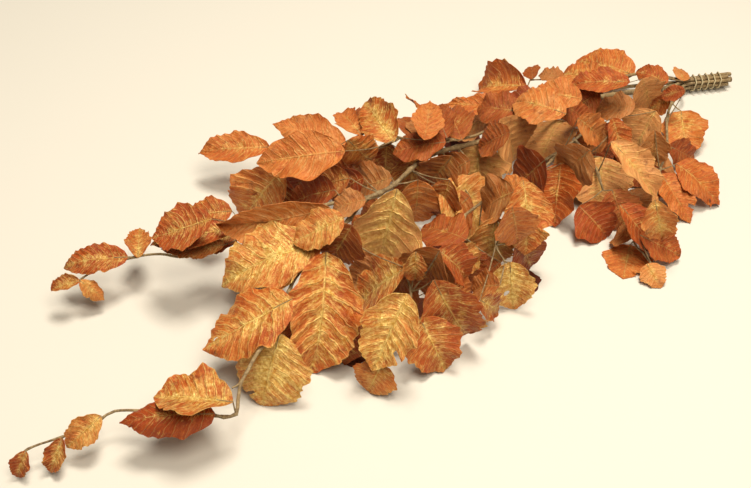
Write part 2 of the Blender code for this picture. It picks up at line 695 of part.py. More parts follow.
def tie_mesh(spare=0.0):
    """Return the tube wound round the stems: each turn bears on the outermost of them."""
    pitch = (TIE_END - TIE_START).length / TIE_TURNS
    path = []
    for k in range(TIE_TURNS * TIE_STEPS + 1):
        angle = math.tau * k / TIE_STEPS
        out = Vector((math.cos(angle), math.sin(angle)))
        reach = []
        for branch in BRANCHES:
            across, up, thick = branch.seat
            centre = Vector((across, up)) * MM
            radius = (thick + TIE_THICK / MM) * MM / 2 + TIE_GAP
            reach.append((centre.dot(out) + radius, centre + out * radius))
        spot = max(reach, key=lambda pair: pair[0])[1]
        along = TIE_START + ALONG_TIE * pitch * k / TIE_STEPS
        path.append(along + ACROSS_TIE * spot.x + UP * spot.y)
    return tube(path, [TIE_THICK / 2 + spare] * len(path), TIE_SIDES)


# Objects

def material(name, colour, roughness):
    made = bpy.data.materials.new(name)
    made.use_nodes = True
    shader = made.node_tree.nodes["Principled BSDF"]
    shader.inputs["Base Color"].default_value = colour
    shader.inputs["Roughness"].default_value = roughness
    shader.inputs["Metallic"].default_value = 0.0
    return made


def mesh_object(name, verts, faces):
    """Return an object of one closed mesh, with its faces pointing out."""
    bm = bmesh.new()
    made = [bm.verts.new(v) for v in verts]
    for face in faces:
        bm.faces.new([made[n] for n in face])
    bmesh.ops.recalc_face_normals(bm, faces=bm.faces)
    mesh = bpy.data.meshes.new(name)
    bm.to_mesh(mesh)
    bm.free()
    thing = bpy.data.objects.new(name, mesh)
    return thing


def fill_pockets(mesh):
    """Fill the pockets that lie closed inside a joined body, by taking out their walls."""
    bm = bmesh.new()
    bm.from_mesh(mesh)
    left = set(bm.faces)
    pieces = 0
    while left:
        island, edge_of = set(), [left.pop()]
        while edge_of:
            face = edge_of.pop()
            island.add(face)
            near = [f for edge in face.edges for f in edge.link_faces if f in left]
            left.difference_update(near)
            edge_of += near
        volume = sum(f.calc_center_median().dot(f.normal) * f.calc_area() for f in island)
        if volume > 0:
            pieces += 1
        else:
            bmesh.ops.delete(bm, geom=list(island), context="FACES")
    bm.to_mesh(mesh)
    bm.free()
    return pieces


def fuse(name, shells, finish):
    """Join closed shells into one body with a single Boolean union on their collection."""
    body = mesh_object(name, *shells[0])
    bpy.context.scene.collection.objects.link(body)
    repeats = bpy.data.collections.new(name + "_repeats")
    bpy.context.scene.collection.children.link(repeats)
    for k, shell in enumerate(shells[1:]):
        repeats.objects.link(mesh_object(f"{name}_{k}", *shell))
    union = body.modifiers.new("union", "BOOLEAN")
    union.operation = "UNION"
    union.operand_type = "COLLECTION"
    union.collection = repeats
    union.solver = "MANIFOLD"
    bpy.context.view_layer.update()
    joined = bpy.data.meshes.new_from_object(body.evaluated_get(bpy.context.evaluated_depsgraph_get()))
    body.modifiers.clear()
    body.data = joined
    for thing in list(repeats.objects):
        bpy.data.objects.remove(thing)
    bpy.data.collections.remove(repeats)
    joined.materials.clear()
    joined.materials.append(finish)
    pieces = fill_pockets(joined)
    triangles = sum(len(p.vertices) - 2 for p in joined.polygons)
    print(name, "pieces", pieces, "triangles", triangles)
    return body


def build():
    for thing in list(bpy.data.objects):
        bpy.data.objects.remove(thing)
    leaf = material("dyed_beech_leaf", LEAF_COLOUR, 0.5)
    woods, leaves = grow_bunch()
    for branch in BRANCHES:
        shells = [tube(*wood) for wood in woods[branch.name]]
        for blade, foot in leaves[branch.name]:
            shells += leaf_shells(blade, foot)
        fuse(branch.name, shells, leaf)
    tie = mesh_object("tie", *tie_mesh())
    tie.data.materials.append(material("raffia", TIE_COLOUR, 0.8))
    bpy.context.scene.collection.objects.link(tie)
    corners = [v.co for thing in bpy.data.objects for v in thing.data.vertices]
    low = [min(c[k] for c in corners) for k in range(3)]
    high = [max(c[k] for c in corners) for k in range(3)]
    print("box", [round(v, 4) for v in low], [round(v, 4) for v in high])


build()
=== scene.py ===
# %% [markdown]
# # A bunch of preserved beech
# Beech branches are preserved by letting them drink glycerine, dyed copper, and brushed with
# gold paint. This bunch is six such stems, tied near their cut ends and laid on a table.
# The solids of the part come first. They are plain: each stem and its leaves are one body.
# Everything added here lies where they are, and shows what they can't: veins, teeth, bark.

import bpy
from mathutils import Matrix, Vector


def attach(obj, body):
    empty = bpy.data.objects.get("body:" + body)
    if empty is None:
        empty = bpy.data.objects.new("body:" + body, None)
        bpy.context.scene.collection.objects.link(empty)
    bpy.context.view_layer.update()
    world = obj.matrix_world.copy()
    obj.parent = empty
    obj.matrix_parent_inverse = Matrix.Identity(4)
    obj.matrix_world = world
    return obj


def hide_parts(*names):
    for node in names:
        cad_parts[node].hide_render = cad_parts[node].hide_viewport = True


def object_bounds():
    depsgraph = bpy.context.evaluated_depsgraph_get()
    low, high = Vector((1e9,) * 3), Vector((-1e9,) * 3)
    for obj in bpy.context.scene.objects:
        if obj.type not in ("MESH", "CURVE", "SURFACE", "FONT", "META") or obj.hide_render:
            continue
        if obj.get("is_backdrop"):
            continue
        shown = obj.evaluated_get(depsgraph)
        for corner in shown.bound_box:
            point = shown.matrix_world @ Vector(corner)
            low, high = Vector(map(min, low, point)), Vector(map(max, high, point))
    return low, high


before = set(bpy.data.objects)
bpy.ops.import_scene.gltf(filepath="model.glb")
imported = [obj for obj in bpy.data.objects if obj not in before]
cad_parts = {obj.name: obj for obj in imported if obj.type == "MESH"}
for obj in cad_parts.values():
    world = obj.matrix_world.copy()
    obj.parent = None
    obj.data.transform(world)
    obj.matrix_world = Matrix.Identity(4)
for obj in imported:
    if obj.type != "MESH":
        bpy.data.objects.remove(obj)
cad_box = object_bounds()
print("solids:", ", ".join(sorted(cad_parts)))

# %% [markdown]
# ## The eye
# The photograph was taken from above the front of the bunch. Its eye is described by four
# real values: how wide it sees, how steeply it looks down, how far it is from the table, and
# how far the bunch is turned in its view. With them, a pixel of the photograph and a height
# over the table give a place in space, and so stems and leaves can be put where they show.

# %% The eye
import math
import random
from collections import namedtuple

import bpy
import bmesh
from mathutils import Matrix, Vector, noise
from mathutils.bvhtree import BVHTree

MM = 0.001
UP = Vector((0.0, 0.0, 1.0))
PHOTO_WIDTH, PHOTO_HEIGHT = 751, 488
VIEW_ANGLE = math.radians(40.0)
LOOK_DOWN = math.radians(42.0)
EYE_DISTANCE = 0.90
BUNCH_TURN = math.radians(37.9)
VIEW_MIDDLE = Vector((-0.0487, 0.0100, 0.0))

RIGHTWARD = Vector((math.cos(BUNCH_TURN), -math.sin(BUNCH_TURN), 0.0))
FORWARD = Vector((math.sin(BUNCH_TURN), math.cos(BUNCH_TURN), 0.0))
EYE = VIEW_MIDDLE + (UP * math.sin(LOOK_DOWN) - FORWARD * math.cos(LOOK_DOWN)) * EYE_DISTANCE
FOCAL = PHOTO_WIDTH / 2 / math.tan(VIEW_ANGLE / 2)
SIGHT = FORWARD * math.cos(LOOK_DOWN) - UP * math.sin(LOOK_DOWN)
DOWNWARD = -FORWARD * math.sin(LOOK_DOWN) - UP * math.cos(LOOK_DOWN)


def sight_line(px, py):
    """Return the direction of the sight line through a pixel."""
    across = (px - PHOTO_WIDTH / 2) / FOCAL
    down = (py - PHOTO_HEIGHT / 2) / FOCAL
    return (SIGHT + RIGHTWARD * across + DOWNWARD * down).normalized()


def seen_at(px, py, height):
    """Return the point that a pixel shows at a height above the table."""
    line = sight_line(px, py)
    return EYE + line * ((height - EYE.z) / line.z)


def pixel_of(point):
    """Return the pixel that shows a point."""
    away = point - EYE
    depth = away.dot(SIGHT)
    return Vector((PHOTO_WIDTH / 2 + FOCAL * away.dot(RIGHTWARD) / depth,
                   PHOTO_HEIGHT / 2 + FOCAL * away.dot(DOWNWARD) / depth))


print("the eye is at", [round(c, 3) for c in EYE])

# %% [markdown]
# ## The camera
# Blender's camera looks along its own -Z with +Y up. Its matrix is built from the three
# directions above, so that it sees the table just as the photograph does.

# %% The camera
SENSOR = 36.0
bpy.ops.object.camera_add()
camera = bpy.context.object
camera.name = "photo_camera"
camera.data.sensor_width = SENSOR
camera.data.lens = SENSOR / 2 / math.tan(VIEW_ANGLE / 2)
turned = Matrix((RIGHTWARD, -DOWNWARD, -SIGHT)).transposed().to_4x4()
camera.matrix_world = Matrix.Translation(EYE) @ turned
bpy.context.scene.camera = camera
print("lens", round(camera.data.lens, 1), "mm")

# %% [markdown]
# ## Where the stems run
# A route is a list of pixels with heights in mm, from the tie to the tip. Each branch has a
# seat in the tie, given across, up and as a thickness in mm, and the pixel of its cut end.
# A leaf has the pixel of its base, the pixel of its tip and its breadth in mm. Its turn about
# the midrib and the curl of its edges are in degrees. Low leaves lie under the middle ones,
# top leaves over them, and hidden leaves flat on the table under the bunch.

# %% What a branch is
Route = namedtuple("Route", "thick_from thick_to points")
Branch = namedtuple("Branch", "name seat butt routes low middle top hidden")
print("a branch has", ", ".join(Branch._fields))

# %% [markdown]
# This stem carries the two ends that reach past all the others at the lower left. Near its
# middle it divides, and its larger leaves lie on top.

# %% The longest stem
LONG = Branch(
    "branch_long", seat=(0.0, 0.0, 6.2), butt=(735, 84.5),
    routes=[
        Route(6.2, 1.6, [
            (658, 90, 15), (632, 92, 20), (600, 97, 26), (580, 102, 30), (560, 108, 34),
            (520, 124, 40), (490, 138, 44), (458, 147, 48), (442, 151, 50), (425, 158, 52),
            (410, 170, 54), (395, 184, 56), (380, 193, 58), (365, 200, 60), (350, 218, 61),
            (337, 232, 61), (322, 246, 61), (308, 262, 60), (295, 278, 58), (289, 292, 57),
            (283, 315, 54), (272, 335, 51), (258, 352, 48), (249, 368, 45), (241, 383, 42),
            (238, 400, 39), (236, 414, 37), (224, 417, 35), (213, 416, 34), (190, 423, 32),
            (165, 413, 30), (150, 411, 29), (115, 411, 26), (100, 420, 25), (80, 430, 23),
            (62, 437, 22), (40, 444, 20), (28, 449, 19), (22, 453, 19)]),
        Route(3.6, 1.5, [
            (380, 193, 58), (362, 199, 60), (345, 201, 61), (325, 205, 61), (300, 212, 59),
            (270, 223, 55), (235, 238, 50), (220, 243, 47), (205, 248, 44), (183, 257, 41),
            (160, 254, 38), (135, 257, 35), (105, 266, 32), (90, 273, 30), (80, 280, 29)]),
        Route(1.8, 1.4, [(205, 248, 44), (201, 254, 43), (196, 259, 42)]),
        Route(2.0, 1.5, [(190, 423, 32), (188, 429, 32), (187, 434, 32)]),
        Route(2.2, 1.5, [(241, 383, 42), (236, 386, 42), (232, 388, 42)]),
    ],
    low=[
        (290, 240, 230, 258, 34, 0, 10), (392, 178, 352, 192, 34, 0, 0),
        (350, 178, 305, 188, 30, 0, 10), (335, 190, 290, 205, 34, 0, 0),
        (352, 225, 330, 262, 36, 0, 0), (470, 196, 442, 226, 38, 0, 0),
        (450, 180, 440, 217, 32, 0, 10), (470, 160, 440, 185, 34, 0, 0),
        (300, 285, 305, 340, 44, 0, 0), (405, 215, 352, 250, 50, 0, 0),
        (345, 300, 345, 365, 36, 0, 0), (240, 236, 190, 243, 24, 0, 0),
        (366, 200, 330, 212, 24, 0, 0), (452, 156, 428, 184, 34, 0, 0),
        (318, 256, 262, 290, 38, 0, 0), (510, 132, 478, 149, 30, 0, 0),
        (364, 178, 332, 200, 32, 0, 0), (224, 245, 162, 251, 22, 0, 0)],
    middle=[
        (235, 230, 150, 245, 36, 0, 40), (212, 219, 153, 239, 39, 0, 0),
        (232, 211, 184, 218, 28, 0, 10), (138, 258, 140, 229, 24, 0, 35),
        (128, 257, 62, 266, 28, 0, 15), (80, 281, 104, 300, 16, 0, -50),
        (80, 281, 50, 290, 16, 0, 50), (62, 438, 50, 473, 17, 0, 30),
        (26, 451, 17, 479, 15, 0, 30), (101, 416, 66, 448, 23, 0, 30),
        (215, 414, 119, 422, 31, 0, -60), (387, 142, 385, 179, 36, 0, 20),
        (418, 180, 413, 226, 36, 0, 0), (406, 268, 356, 304, 46, 0, 10),
        (322, 243, 218, 283, 54, 0, 0), (292, 299, 204, 351, 49, 0, 0),
        (344, 218, 293, 243, 32, 15, 0), (492, 119, 449, 131, 38, 0, 0)],
    top=[
        (233, 402, 153, 395, 42, 0, 15), (280, 333, 261, 409, 60, 0, -15),
        (326, 252, 312, 378, 60, 0, 10), (330, 208, 215, 227, 33, 0, 10),
        (418, 150, 408, 194, 42, 0, 30), (397, 189, 376, 272, 58, 0, 0),
        (562, 120, 541, 163, 58, 0, 0), (500, 119, 512, 165, 48, 0, 0),
        (479, 145, 480, 196, 62, 0, -10), (441, 186, 488, 229, 54, 0, 0)],
    hidden=[(352, 330, 352, 367, 30), (470, 215, 430, 200, 34)])
print(LONG.name, len(LONG.routes), "lines of wood")

# %% [markdown]
# Its leaves lie behind the long stem, and two or three point away from the bunch.

# %% The stem along the far side
UPPER = Branch(
    "branch_upper", seat=(5.6, -0.9, 4.4), butt=(728, 80),
    routes=[
        Route(4.4, 1.5, [
            (655, 84, 10), (600, 90, 12), (560, 100, 20), (520, 113, 32), (495, 126, 44),
            (470, 137, 56), (430, 141, 60), (400, 138, 60), (380, 130, 58), (362, 134, 56),
            (346, 143, 54), (325, 153, 52), (305, 160, 50), (282, 175, 46)]),
    ],
    low=[
        (346, 146, 322, 180, 34, 0, 0), (313, 165, 300, 196, 34, 0, 0),
        (284, 178, 275, 217, 40, 0, 0), (425, 140, 425, 115, 28, 0, 0),
        (412, 138, 402, 117, 25, 0, 0), (375, 150, 350, 180, 38, 0, 0),
        (447, 138, 432, 108, 28, 0, 20), (446, 142, 392, 152, 30, 0, 0),
        (462, 140, 446, 108, 32, 0, 0)],
    middle=[
        (270, 147, 196, 151, 32, 0, 10), (346, 147, 273, 126, 32, 0, 0),
        (282, 170, 243, 220, 58, 0, 0), (361, 135, 342, 113, 29, 0, 20),
        (348, 140, 374, 164, 34, 0, -30), (424, 140, 430, 101, 28, 0, 10),
        (425, 116, 404, 95, 13, 60, 0)],
    top=[
        (345, 151, 256, 163, 34, 0, 0), (394, 142, 366, 103, 36, 0, 0)],
    hidden=[(340, 175, 300, 160, 34), (480, 150, 440, 130, 34)])
print(UPPER.name, len(UPPER.routes), "lines of wood")

# %% [markdown]
# It runs low under the middle of the bunch and ends in a small curled leaf.

# %% The stem toward the front
LOWER = Branch(
    "branch_lower", seat=(-5.6, -0.9, 4.4), butt=(713, 88),
    routes=[
        Route(4.4, 1.5, [
            (655, 99, 9), (620, 118, 13), (580, 140, 19), (540, 163, 26), (500, 190, 33),
            (465, 215, 40), (440, 238, 44), (420, 258, 47), (408, 275, 48), (411, 292, 45),
            (409, 310, 42), (403, 326, 38), (396, 340, 33), (393, 352, 28), (386, 365, 22)]),
        Route(2.6, 1.5, [(465, 215, 40), (462, 235, 38), (456, 252, 35), (444, 280, 30)]),
    ],
    low=[
        (440, 250, 425, 290, 42, 0, 0), (443, 285, 470, 305, 30, 0, 10),
        (455, 245, 470, 287, 38, 0, 0), (402, 300, 380, 332, 30, 0, 0),
        (412, 270, 392, 304, 34, 0, 0), (500, 262, 474, 286, 30, 0, 0),
        (466, 240, 422, 230, 34, 0, 0), (398, 266, 350, 284, 32, 0, 0),
        (452, 250, 438, 284, 26, 0, 0)],
    middle=[
        (416, 252, 415, 282, 18, 0, 0), (438, 250, 468, 280, 34, 0, 20),
        (434, 280, 468, 336, 48, 0, 0), (420, 318, 447, 373, 49, 0, 10),
        (382, 364, 367, 393, 35, 0, -30)],
    top=[
        (452, 248, 480, 268, 25, 0, 0), (408, 294, 372, 371, 46, 0, 20)],
    hidden=[(410, 300, 440, 330, 30), (478, 242, 424, 252, 32)])
print(LOWER.name, len(LOWER.routes), "lines of wood")

# %% [markdown]
# Short, with broad leaves that stand high close to the tie.

# %% The stem at the far right
TOP = Branch(
    "branch_top", seat=(2.8, 5.0, 4.2), butt=(735, 79),
    routes=[
        Route(4.2, 1.6, [
            (665, 77, 21), (645, 73, 25), (622, 77, 29), (600, 83, 34), (562, 96, 41),
            (530, 104, 46), (500, 106, 50)]),
        Route(2.6, 1.5, [(600, 83, 34), (580, 80, 35), (560, 79, 35), (530, 80, 33)]),
    ],
    low=[
        (565, 78, 538, 74, 18, 0, 0), (533, 79, 532, 65, 16, 0, 0),
        (545, 100, 500, 112, 32, 0, 0), (600, 92, 560, 118, 32, 0, 0),
        (560, 104, 590, 122, 28, 0, 0), (520, 112, 476, 108, 32, 0, 0),
        (668, 82, 636, 71, 20, 0, 0)],
    middle=[
        (527, 87, 478, 90, 44, 0, 40), (602, 87, 560, 72, 38, 0, 10),
        (508, 107, 443, 104, 23, 0, 0), (582, 99, 530, 92, 26, 0, 0),
        (630, 82, 568, 84, 30, 0, 0), (683, 81, 678, 67, 19, 0, 0)],
    top=[
        (634, 75, 577, 62, 45, 0, -10), (566, 114, 511, 100, 39, 0, 0),
        (642, 79, 648, 109, 39, 0, 0)],
    hidden=[(605, 102, 560, 88, 34)])
print(TOP.name, len(TOP.routes), "lines of wood")

# %% [markdown]
# It carries the densest leaves of the bunch.

# %% The stem in the middle of the front
FRONT = Branch(
    "branch_front", seat=(-2.5, 5.4, 4.0), butt=(724, 84),
    routes=[
        Route(4.0, 1.5, [
            (665, 93, 20), (640, 103, 26), (625, 108, 29), (610, 116, 32), (598, 121, 34),
            (575, 140, 38), (552, 160, 42), (530, 182, 45), (512, 205, 47), (500, 225, 48),
            (496, 245, 46), (505, 262, 43)]),
        Route(2.6, 1.5, [(575, 140, 38), (588, 155, 36), (598, 172, 33), (603, 190, 30)]),
    ],
    low=[
        (560, 150, 575, 185, 38, 0, 0), (590, 150, 565, 178, 38, 0, 0),
        (500, 285, 472, 292, 25, 0, 10), (579, 206, 609, 239, 34, 0, 10),
        (518, 240, 530, 266, 28, 0, 0), (545, 160, 514, 190, 40, 0, 0),
        (635, 106, 592, 112, 30, 0, 0), (610, 134, 578, 156, 36, 0, 10),
        (620, 150, 640, 187, 34, 0, 0), (612, 190, 628, 232, 34, 0, 0),
        (514, 192, 482, 212, 34, 0, 0), (612, 122, 606, 160, 30, 0, 0),
        (596, 152, 592, 185, 28, 0, 0)],
    middle=[
        (480, 300, 497, 311, 24, 0, 0), (562, 163, 556, 227, 46, 0, 15),
        (523, 180, 526, 256, 44, 0, 10), (512, 207, 517, 243, 32, 0, 0),
        (495, 217, 492, 265, 40, 0, 0), (510, 262, 513, 309, 37, 0, 0),
        (670, 98, 644, 112, 22, 0, 0), (612, 118, 622, 165, 28, 0, 20)],
    top=[
        (530, 186, 492, 209, 38, 0, 0),
        (601, 157, 599, 212, 53, 0, -15), (578, 118, 603, 140, 30, 0, 0),
        (611, 142, 657, 205, 32, 0, 20), (656, 111, 635, 151, 50, 0, 0)],
    hidden=[(520, 268, 526, 297, 24), (575, 165, 560, 190, 32)])
print(FRONT.name, len(FRONT.routes), "lines of wood")

# %% [markdown]
# It hangs away from the others, and ends in two small leaves on a bare length of twig.

# %% The twig at the right
RIGHT = Branch(
    "branch_right", seat=(-6.4, 4.0, 3.4), butt=(708, 87),
    routes=[
        Route(3.4, 1.5, [
            (684, 93, 15), (672, 103, 17), (667, 120, 21), (667, 150, 23), (660, 170, 23),
            (655, 200, 21), (645, 225, 18), (634, 242, 15), (643, 253, 11), (651, 264, 8)]),
    ],
    low=[
        (630, 190, 645, 222, 30, 0, 20), (650, 165, 655, 200, 32, 0, 0),
        (662, 152, 643, 188, 38, 0, 0), (668, 146, 694, 160, 24, 0, 0),
        (634, 236, 612, 238, 22, 0, 0)],
    middle=[
        (620, 205, 652, 253, 36, 0, 10), (640, 235, 682, 257, 28, 0, 0),
        (655, 200, 663, 240, 30, 0, 0), (647, 264, 661, 289, 23, 0, -10),
        (655, 130, 655, 165, 28, 0, 10)],
    top=[
        (661, 174, 690, 223, 34, 0, 15), (676, 164, 718, 206, 43, 0, 0),
        (685, 90, 660, 97, 16, 0, 0), (681, 111, 687, 160, 44, 0, 10)],
    hidden=[(630, 245, 623, 279, 33)])
print(RIGHT.name, len(RIGHT.routes), "lines of wood")

# %% [markdown]
# The order of the list is the order in which they get their leaves.

# %% All branches
BRANCHES = [LONG, UPPER, LOWER, TOP, FRONT, RIGHT]
print(len(BRANCHES), "branches")

# %% [markdown]
# ## Smooth lines
# A grown stem has no sharp corners. A Catmull-Rom curve rounds a route, and still passes
# through every point that it is given. A simple tube of few sides then stands for the wood,
# wherever only its place matters and not its look.

# %% Smooth lines and tubes
WOOD_SIDES, TWIG_SIDES, STALK_SIDES, TIE_SIDES = 5, 4, 4, 4


def smooth_path(points, step):
    """Return points a step apart on a Catmull-Rom curve through the given ones."""
    ends = [points[0] * 2 - points[1]] + points + [points[-1] * 2 - points[-2]]
    path = [points[0]]
    for a, b, c, d in zip(ends, ends[1:], ends[2:], ends[3:]):
        parts = max(1, round((c - b).length / step))
        for k in range(1, parts + 1):
            t = k / parts
            path.append(0.5 * (2 * b + (c - a) * t + (2 * a - 5 * b + 4 * c - d) * t * t
                               + (3 * b - a - 3 * c + d) * t ** 3))
    return path


def tube(path, radii, sides):
    """Return the vertices and triangles of a closed tube along a path."""
    verts, faces = [], []
    side = UP.cross(path[1] - path[0]).normalized()
    for k, point in enumerate(path):
        ahead = (path[min(k + 1, len(path) - 1)] - path[max(k - 1, 0)]).normalized()
        side = (side - ahead * side.dot(ahead)).normalized()
        over = ahead.cross(side)
        for n in range(sides):
            angle = math.tau * n / sides
            verts.append(point + (side * math.cos(angle) + over * math.sin(angle)) * radii[k])
    for k in range(len(path) - 1):
        for n in range(sides):
            a, b = k * sides + n, k * sides + (n + 1) % sides
            faces += [(a, b, b + sides), (a, b + sides, a + sides)]
    last = (len(path) - 1) * sides
    for n in range(1, sides - 1):
        faces += [(0, n + 1, n), (last, last + n, last + n + 1)]
    return verts, faces


print("simple stems have", WOOD_SIDES, "sides")

# %% [markdown]
# ## Stems through the tie
# Between the tie's two ends the stems run side by side, each on the seat that it has in the
# bundle. Past the tie they part, and each follows the pixels of its own route.

# %% Stem and twig lines
TIE_FROM, TIE_TO = (719, 80.5), (688, 84.0)
BUNDLE_HEIGHT = 8.5 * MM
STRAIGHT_PAST_TIE = 7 * MM
WOOD_STEP, TWIG_STEP = 22 * MM, 18 * MM


def bundle_frame():
    """Return the tie's two ends on the bundle's line, and the directions across and up."""
    start = seen_at(*TIE_FROM, BUNDLE_HEIGHT)
    end = seen_at(*TIE_TO, BUNDLE_HEIGHT)
    end.z = start.z
    along = (end - start).normalized()
    return start, end, along, -UP.cross(along)


TIE_START, TIE_END, ALONG_TIE, ACROSS_TIE = bundle_frame()


def stem_start(branch):
    """Return a stem's cut end and where it leaves the tie, on its own line through it."""
    across, up = branch.seat[:2]
    shift = (ACROSS_TIE * across + UP * up) * MM
    butt = seen_at(*branch.butt, BUNDLE_HEIGHT + up * MM)
    reach = max((TIE_START - butt).dot(ALONG_TIE), STRAIGHT_PAST_TIE)
    return [TIE_START + shift - ALONG_TIE * reach,
            TIE_START + shift,
            TIE_END + shift + ALONG_TIE * STRAIGHT_PAST_TIE]


def route_line(branch, k, step):
    """Return the path of a branch's route and its radii. Route 0, the stem, runs from the tie."""
    route = branch.routes[k]
    points = [seen_at(px, py, height * MM) for px, py, height in route.points]
    if k == 0:
        points = stem_start(branch) + points
    path = smooth_path(points, step)
    last = len(path) - 1
    radii = [(route.thick_from + (route.thick_to - route.thick_from) * n / last) * MM / 2
             for n in range(last + 1)]
    return path, radii


def grow_wood(branch):
    """Return the stem and twigs of a branch as paths with their radii."""
    wood = []
    for k in range(len(branch.routes)):
        path, radii = route_line(branch, k, WOOD_STEP if k == 0 else TWIG_STEP)
        wood.append((path, radii, WOOD_SIDES if k == 0 else TWIG_SIDES))
    return wood


print("stems leave the tie along", [round(c, 3) for c in ALONG_TIE])

# %% [markdown]
# ## A blade in space
# A dried beech leaf isn't flat. It bows along its midrib, folds a little at it, twists, and
# its edges curl. The class holds these for one leaf and gives any point of its middle surface,
# from the share s along the midrib and the share t across it. Added lift stands off the blade.

# %% A blade in space
BLADE_THICK = 0.8 * MM
SCALLOPS = 2.5
SCALLOP_DEPTH = 0.07
WAVE = 0.020                 # of the length, up and down along the edge
BROADEST, FULLNESS = 0.85, 0.75    # powers that shape a blade's outline
BOWS = (0.02, 0.10)          # of the length, along the midrib
FOLDS = (4, 14)              # degrees, at the midrib
TWISTS = (-14, 14)           # degrees, from base to tip
CURL_SPREAD, TURN_SPREAD = 8, 12   # degrees more or less than in the table
STALK_THICK = 1.1 * MM
UPRIGHT = 0.6                # how far a blade faces up rather than to the eye
LOWEST = 0.9 * MM            # no blade's middle lies lower over the table
FOOT_ASIDE = 0.3 * MM        # two stalks from one node never share a foot


class Blade:
    """A leaf's place and form: where its midrib runs, how broad it is and how it bends."""

    def __init__(self, base, tip, breadth, turn, curl, seed, flat=False):
        draw = random.Random(seed)
        self.base, self.tip, self.breadth = base, tip, breadth
        self.length = (tip - base).length
        self.ahead = (tip - base).normalized()
        self.flat = flat
        self.bow = draw.uniform(*BOWS)
        self.fold = math.radians(draw.uniform(*FOLDS))
        self.twist = math.radians(draw.uniform(*TWISTS))
        self.phase = draw.uniform(0, math.tau)
        self.curl = math.radians(curl + draw.uniform(-CURL_SPREAD, CURL_SPREAD))
        turn = math.radians(turn + draw.uniform(-TURN_SPREAD, TURN_SPREAD))
        self.aside = draw.uniform(-1, 1) * FOOT_ASIDE
        facing = (UP * UPRIGHT + (EYE - base).normalized()).normalized()
        if flat:
            self.bow = self.fold = self.twist = self.curl = turn = 0.0
            facing = UP
        over = (facing - self.ahead * facing.dot(self.ahead)).normalized()
        side = self.ahead.cross(over)
        self.over = over * math.cos(turn) + side * math.sin(turn)
        self.side = self.ahead.cross(self.over)

    def half(self, s):
        """Return half the breadth at s along the midrib, without its scallops."""
        rounded = max(math.sin(math.pi * s ** BROADEST), 0.0) ** FULLNESS
        return max(self.breadth * rounded, STALK_THICK) / 2

    def point(self, s, t, lift=0.0):
        """Return the middle surface at s along the midrib and t across it, plus a lift."""
        half = self.half(s) * (1 + SCALLOP_DEPTH * math.cos(math.tau * SCALLOPS * s) * abs(t))
        out = half * abs(t)
        bend = self.curl * abs(t)
        if abs(self.curl) > 0.01:
            reach = half / self.curl
            x = reach * (math.sin(self.fold + bend) - math.sin(self.fold))
            z = reach * (math.cos(self.fold) - math.cos(self.fold + bend))
        else:
            x, z = out * math.cos(self.fold), out * math.sin(self.fold)
        if not self.flat:
            ripple = math.cos(math.tau * SCALLOPS * s + self.phase * (1 if t > 0 else 2))
            z += WAVE * self.length * ripple * t * t * math.sin(math.pi * s)
        z += lift
        roll = self.twist * (s - 0.5)
        side = self.side * math.cos(roll) + self.over * math.sin(roll)
        over = self.over * math.cos(roll) - self.side * math.sin(roll)
        middle = self.base + (self.tip - self.base) * s
        middle += self.over * self.bow * self.length * 4 * s * (1 - s)
        place = middle + side * math.copysign(x, t) + over * z
        floor = BLADE_THICK / 2 if self.flat else LOWEST
        place.z = max(place.z, floor)
        return place


print("a leaf bows by up to", BOWS[1], "of its length")

# %% [markdown]
# ## A free place for each leaf
# Leaves in a heap touch but don't pass through each other. Each leaf starts at its base in
# the photograph, at its stem's height. If it would cross a neighbour it is lifted along its
# sight lines, so it still shows in the same place, until it is clear. The simple shells used
# for this are those of the solids, so both have their leaves in the same places. The finer
# leaves are broader and more ruffled than their shells, so some of those do cross.

# %% A leaf's simple shell
BLADE_ROWS, SMALL_BLADE_ROWS = 5, 4
BLADE_COLUMNS, CURLED_COLUMNS = 2, 4
ROW_CROWDING = 1.25          # rows stand closer together toward the base
SMALL_BLADE = 55 * MM
BENT_BACK = 0.3              # stalks whose cosine to the midrib is less run straight
SUNK_IN = 0.06               # to this share of the blade
CURLED = math.radians(45)    # blades that curl more have CURLED_COLUMNS
FIRST_TESTED = 0.12          # a blade may touch its own twig before this share of it


def blade_grid(blade, rows, columns, spread, first):
    """Return rows of points on a blade, and the direction that faces out at each."""
    grid = []
    for i in range(rows + 1):
        s = max(first, (i / rows) ** ROW_CROWDING)
        line = []
        for j in range(columns + 1):
            t = 2 * j / columns - 1
            place = blade.point(s, t)
            if spread and abs(t) == 1:
                place = place + blade.side * math.copysign(spread, t)
            line.append(place)
        grid.append(line)
    outward = []
    for i in range(rows + 1):
        line = []
        for j in range(columns + 1):
            down = grid[min(i + 1, rows)][j] - grid[max(i - 1, 0)][j]
            across = grid[i][min(j + 1, columns)] - grid[i][max(j - 1, 0)]
            line.append(UP.copy() if blade.flat else across.cross(down).normalized())
        outward.append(line)
    return grid, outward


def split(quad, flip):
    """Return a quad's two triangles, cut along one diagonal or the other."""
    a, b, c, d = quad
    return [(a, b, d), (b, c, d)] if flip else [(a, b, c), (a, c, d)]


